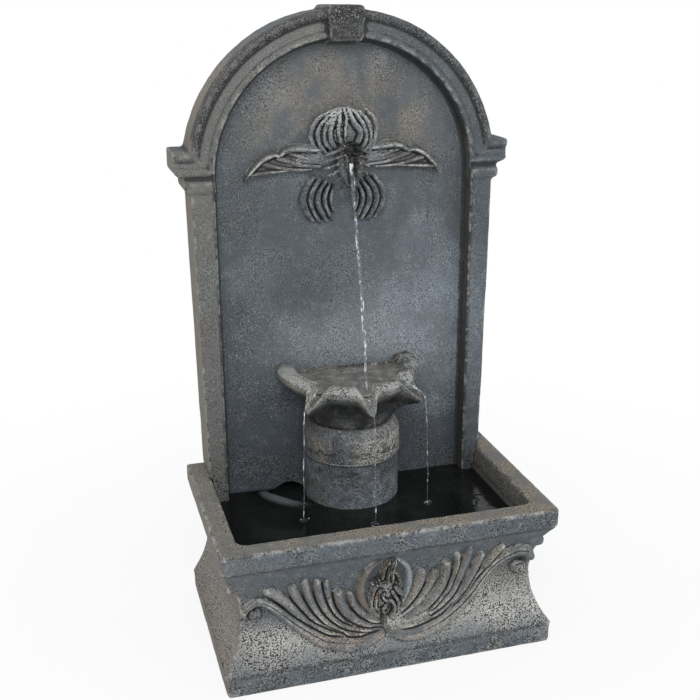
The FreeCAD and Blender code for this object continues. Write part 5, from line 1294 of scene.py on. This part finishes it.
class FOUNTAIN_OT_streams(FountainPiece, bpy.types.Operator):
    """Falling water, its landing rings and drops"""

    bl_idname = "fountain.streams"
    bl_label = "Streams"

    def make(self, scene):
        water = scene.fountain_water
        jet = join([self.jet_strand(water.jet_width / MM, k * 2.1) for k in range(3)])
        weather(jet, JET_GRAIN, rounds=2, wear=0.0, size=0.0, triangles=JET_TRIANGLES)
        finished(jet, "spout_stream", "falling_water")
        level = water.tank_level / MM
        for index, tip in enumerate(LIP_TIPS):
            points, widths = self.thread_line(tip, index, water.thread_width / MM, level)
            parts = [strand(points, widths)]
            for k in range(5):
                x, y, z = points[7 + k % 4]
                bead = x + 1.7 * math.sin(k * 2.3 + index), y + 1.4 * math.cos(k * 1.9), z - 6 * k % 9
                parts.append(egg(bead, (0.9, 0.9, 1.6), 10, 8))
            finished(smooth(join(parts)), "lip_stream_%d" % (index + 1), "falling_water")
            self.splash(points[-1], level, index)

    def jet_strand(self, wide, turn):
        """One of the strands that the spout's water is twisted from."""
        line, widths = [], []
        for k, (y, z) in enumerate(JET_PATH):
            swing = 1.5 + 0.5 * math.sin(k * 1.3)
            spin = turn + k * 1.1
            line.append((swing * math.sin(spin), y + 0.6 * swing * math.cos(spin), z))
            widths.append(wide * (0.9 if k < 3 else 0.62 + 0.22 * math.sin(k * 2.2 + turn)))
        return strand(line, widths)

    def thread_line(self, tip, index, thin, level):
        """Points and widths of a stream that runs out over a lip's tip and falls to the tank."""
        x, y, z = tip
        middle = x == 0
        outward = Vector((x, y - DRUM_AXIS_Y, 0)).normalized()
        over = (-30, 344.5 if middle else 349), (-16, z + 12), (-5, z + 6), (1.4, z - 2)
        points = [(x + outward.x * reach, y + outward.y * reach, height) for reach, height in over]
        widths = [3.6, 3.4, 3.0, thin * 1.3]
        for k in range(1, 9):
            down = (z - level) * (k / 8) ** 1.25 * 0.985
            reach = 1.4 + 7.0 * (k / 8) ** 0.6
            sway = 0.5 * math.sin(k * 2.1 + index)
            points.append((x + outward.x * reach + sway, y + outward.y * reach, z - 2 - down))
            swell = 1.0 + 0.28 * math.sin(k * 2.9 + index * 1.3)
            widths.append(thin * swell * (1.0 if middle else 0.85))
        return points, widths

    def splash(self, landing, level, index):
        """A ring and a few drops where a stream lands."""
        x, y, _ = landing
        parts = []
        for k in range(11):
            turn = k * 2.4 + index
            reach = 2.0 + (k * 37 % 11) * 0.75
            size = 0.5 + (k * 29 % 7) * 0.07
            lift = 0.4 + (k * 17 % 5) * 1.1
            spot = x + reach * math.cos(turn), y + reach * math.sin(turn), level + lift
            parts.append(egg(spot, (size, size, size), 10, 8))
        torus = bpy.ops.mesh.primitive_torus_add
        radii = {"major_radius": 4.6 * MM, "minor_radius": 0.45 * MM}
        ring = added(torus, major_segments=36, minor_segments=8, **radii)
        move_points(ring, lambda a, b, c: (x + a * (1 + 0.12 * math.sin(b)), y + b, level + 0.5 + c * 0.8))
        finished(smooth(join([*parts, ring])), "splash_%d" % (index + 1), "falling_water")


class FOUNTAIN_OT_fittings(FountainPiece, bpy.types.Operator):
    """Finishes of the fixings, tube and pump"""

    bl_idname = "fountain.fittings"
    bl_label = "Fittings and pump"

    def make(self, scene):
        for material, nodes in NODE_FINISHES.items():
            for node in nodes:
                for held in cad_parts[node].material_slots:
                    held.material = finish(material)


class FOUNTAIN_OT_stage(FountainPiece, bpy.types.Operator):
    """Floor, light and camera"""

    bl_idname = "fountain.stage"
    bl_label = "Stage"

    def make(self, scene):
        stage = scene.fountain_stage
        self.floor(stage)
        self.light("key_light", (-0.6, -2.1, 2.3), 1.5, stage.key_power)
        self.light("fill_light", (1.7, -1.6, 1.2), 1.6, stage.fill_power)
        self.light("rim_light", (-1.6, 0.9, 1.7), 1.2, stage.fill_power * 0.4)
        self.sky(scene, stage)
        self.camera(scene, stage)

    def floor(self, stage):
        """Pale paper that keeps the fountain's shadow and is lost in white farther off."""
        floor = added(bpy.ops.mesh.primitive_grid_add, x_subdivisions=8, y_subdivisions=8, size=30.0)
        floor.name = "studio_floor"
        f = Finish("floor_paper")
        tone = f.mix(f.noise(f.here, 60.0, 2.0) * 0.04, (*stage.floor_tone, 1.0), srgb(214, 214, 214))
        paper = f.node("ShaderNodeBsdfDiffuse", None, {"Color": tone})
        white = f.node("ShaderNodeEmission", None, {"Color": (1, 1, 1, 1), "Strength": 1.0})
        share = f.looked_at() * (0.85 + 0.15 * f.rise(f.reach(f.x, f.y), 0.28, 1.1))
        both = f.node("ShaderNodeMixShader", None, {0: share, 1: paper, 2: white})
        f.node("ShaderNodeOutputMaterial", None, {"Surface": both})
        floor.data.materials.append(f.material)

    def light(self, name, place, size, power):
        lamp = bpy.data.lights.new(name, "AREA")
        lamp.shape = "DISK"
        lamp.size = size
        lamp.energy = power
        holder = linked(name, lamp)
        holder.location = place
        aim = Vector(LIGHT_TARGET) - Vector(place)
        holder.rotation_euler = aim.to_track_quat("-Z", "Y").to_euler()

    def sky(self, scene, stage):
        """Soft light from all round, and white where the fountain is looked at against it."""
        scene.world = bpy.data.worlds.new("studio_sky")
        scene.world.use_nodes = True
        f = Nodes(scene.world.node_tree)
        soft = f.node("ShaderNodeBackground", None, {"Color": (0.94, 0.97, 1.0, 1.0), "Strength": stage.sky})
        white = f.node("ShaderNodeBackground", None, {"Color": (1, 1, 1, 1), "Strength": 1.0})
        both = f.node("ShaderNodeMixShader", None, {0: f.looked_at(), 1: soft, 2: white})
        f.node("ShaderNodeOutputWorld", None, {"Surface": both})

    def camera(self, scene, stage):
        """A camera that stands and turns as the photo's did."""
        yaw, pitch, roll = (math.radians(v) for v in (CAMERA_YAW, CAMERA_PITCH, CAMERA_ROLL))
        right = Vector((math.cos(yaw), math.sin(yaw), 0.0))
        flat = math.cos(pitch)
        forward = Vector((-math.sin(yaw) * flat, math.cos(yaw) * flat, math.sin(pitch)))
        up = right.cross(forward)
        level_right = math.cos(roll) * right + math.sin(roll) * up
        level_up = math.cos(roll) * up - math.sin(roll) * right
        lens = bpy.data.cameras.new("photo_camera")
        lens.lens = stage.lens
        lens.sensor_width = 36.0
        holder = linked("photo_camera", lens)
        turned = Matrix((level_right, level_up, -forward)).transposed().to_4x4()
        holder.matrix_world = Matrix.Translation(CAMERA_PLACE) @ turned
        scene.camera = holder
        scene.view_settings.view_transform = "Standard"


class FOUNTAIN_PT_panel(bpy.types.Panel):
    """The fountain's pieces, in the sidebar"""

    bl_idname = "FOUNTAIN_PT_panel"
    bl_label = "Fountain"
    bl_space_type = "VIEW_3D"
    bl_region_type = "UI"
    bl_category = "Fountain"

    def draw(self, context):
        for name, _ in GROUPS:
            group = getattr(context.scene, name)
            box = self.layout.box()
            for key in group.__annotations__:
                box.prop(group, key)
        for step in STEPS:
            self.layout.operator(step.bl_idname)


STEPS = (
    FOUNTAIN_OT_stage,
    FOUNTAIN_OT_basin,
    FOUNTAIN_OT_panel,
    FOUNTAIN_OT_pedestal,
    FOUNTAIN_OT_bowl,
    FOUNTAIN_OT_leaves,
    FOUNTAIN_OT_bud,
    FOUNTAIN_OT_iris,
    FOUNTAIN_OT_water,
    FOUNTAIN_OT_streams,
    FOUNTAIN_OT_fittings,
)
GROUPS = (
    ("fountain_castings", FountainCastings),
    ("fountain_water", FountainWater),
    ("fountain_stage", FountainStage),
)


def register():
    for name, group in GROUPS:
        bpy.utils.register_class(group)
        setattr(bpy.types.Scene, name, PointerProperty(type=group))
    for kind in (*STEPS, FOUNTAIN_PT_panel):
        bpy.utils.register_class(kind)


def unregister():
    for kind in (FOUNTAIN_PT_panel, *reversed(STEPS)):
        bpy.utils.unregister_class(kind)
    for name, group in reversed(GROUPS):
        delattr(bpy.types.Scene, name)
        bpy.utils.unregister_class(group)


def main():
    register()
    for step in STEPS:
        clear()
        family, action = step.bl_idname.split(".")
        getattr(getattr(bpy.ops, family), action)()
    clear()
    bpy.context.view_layer.update()


if __name__ == "__main__":
    main()
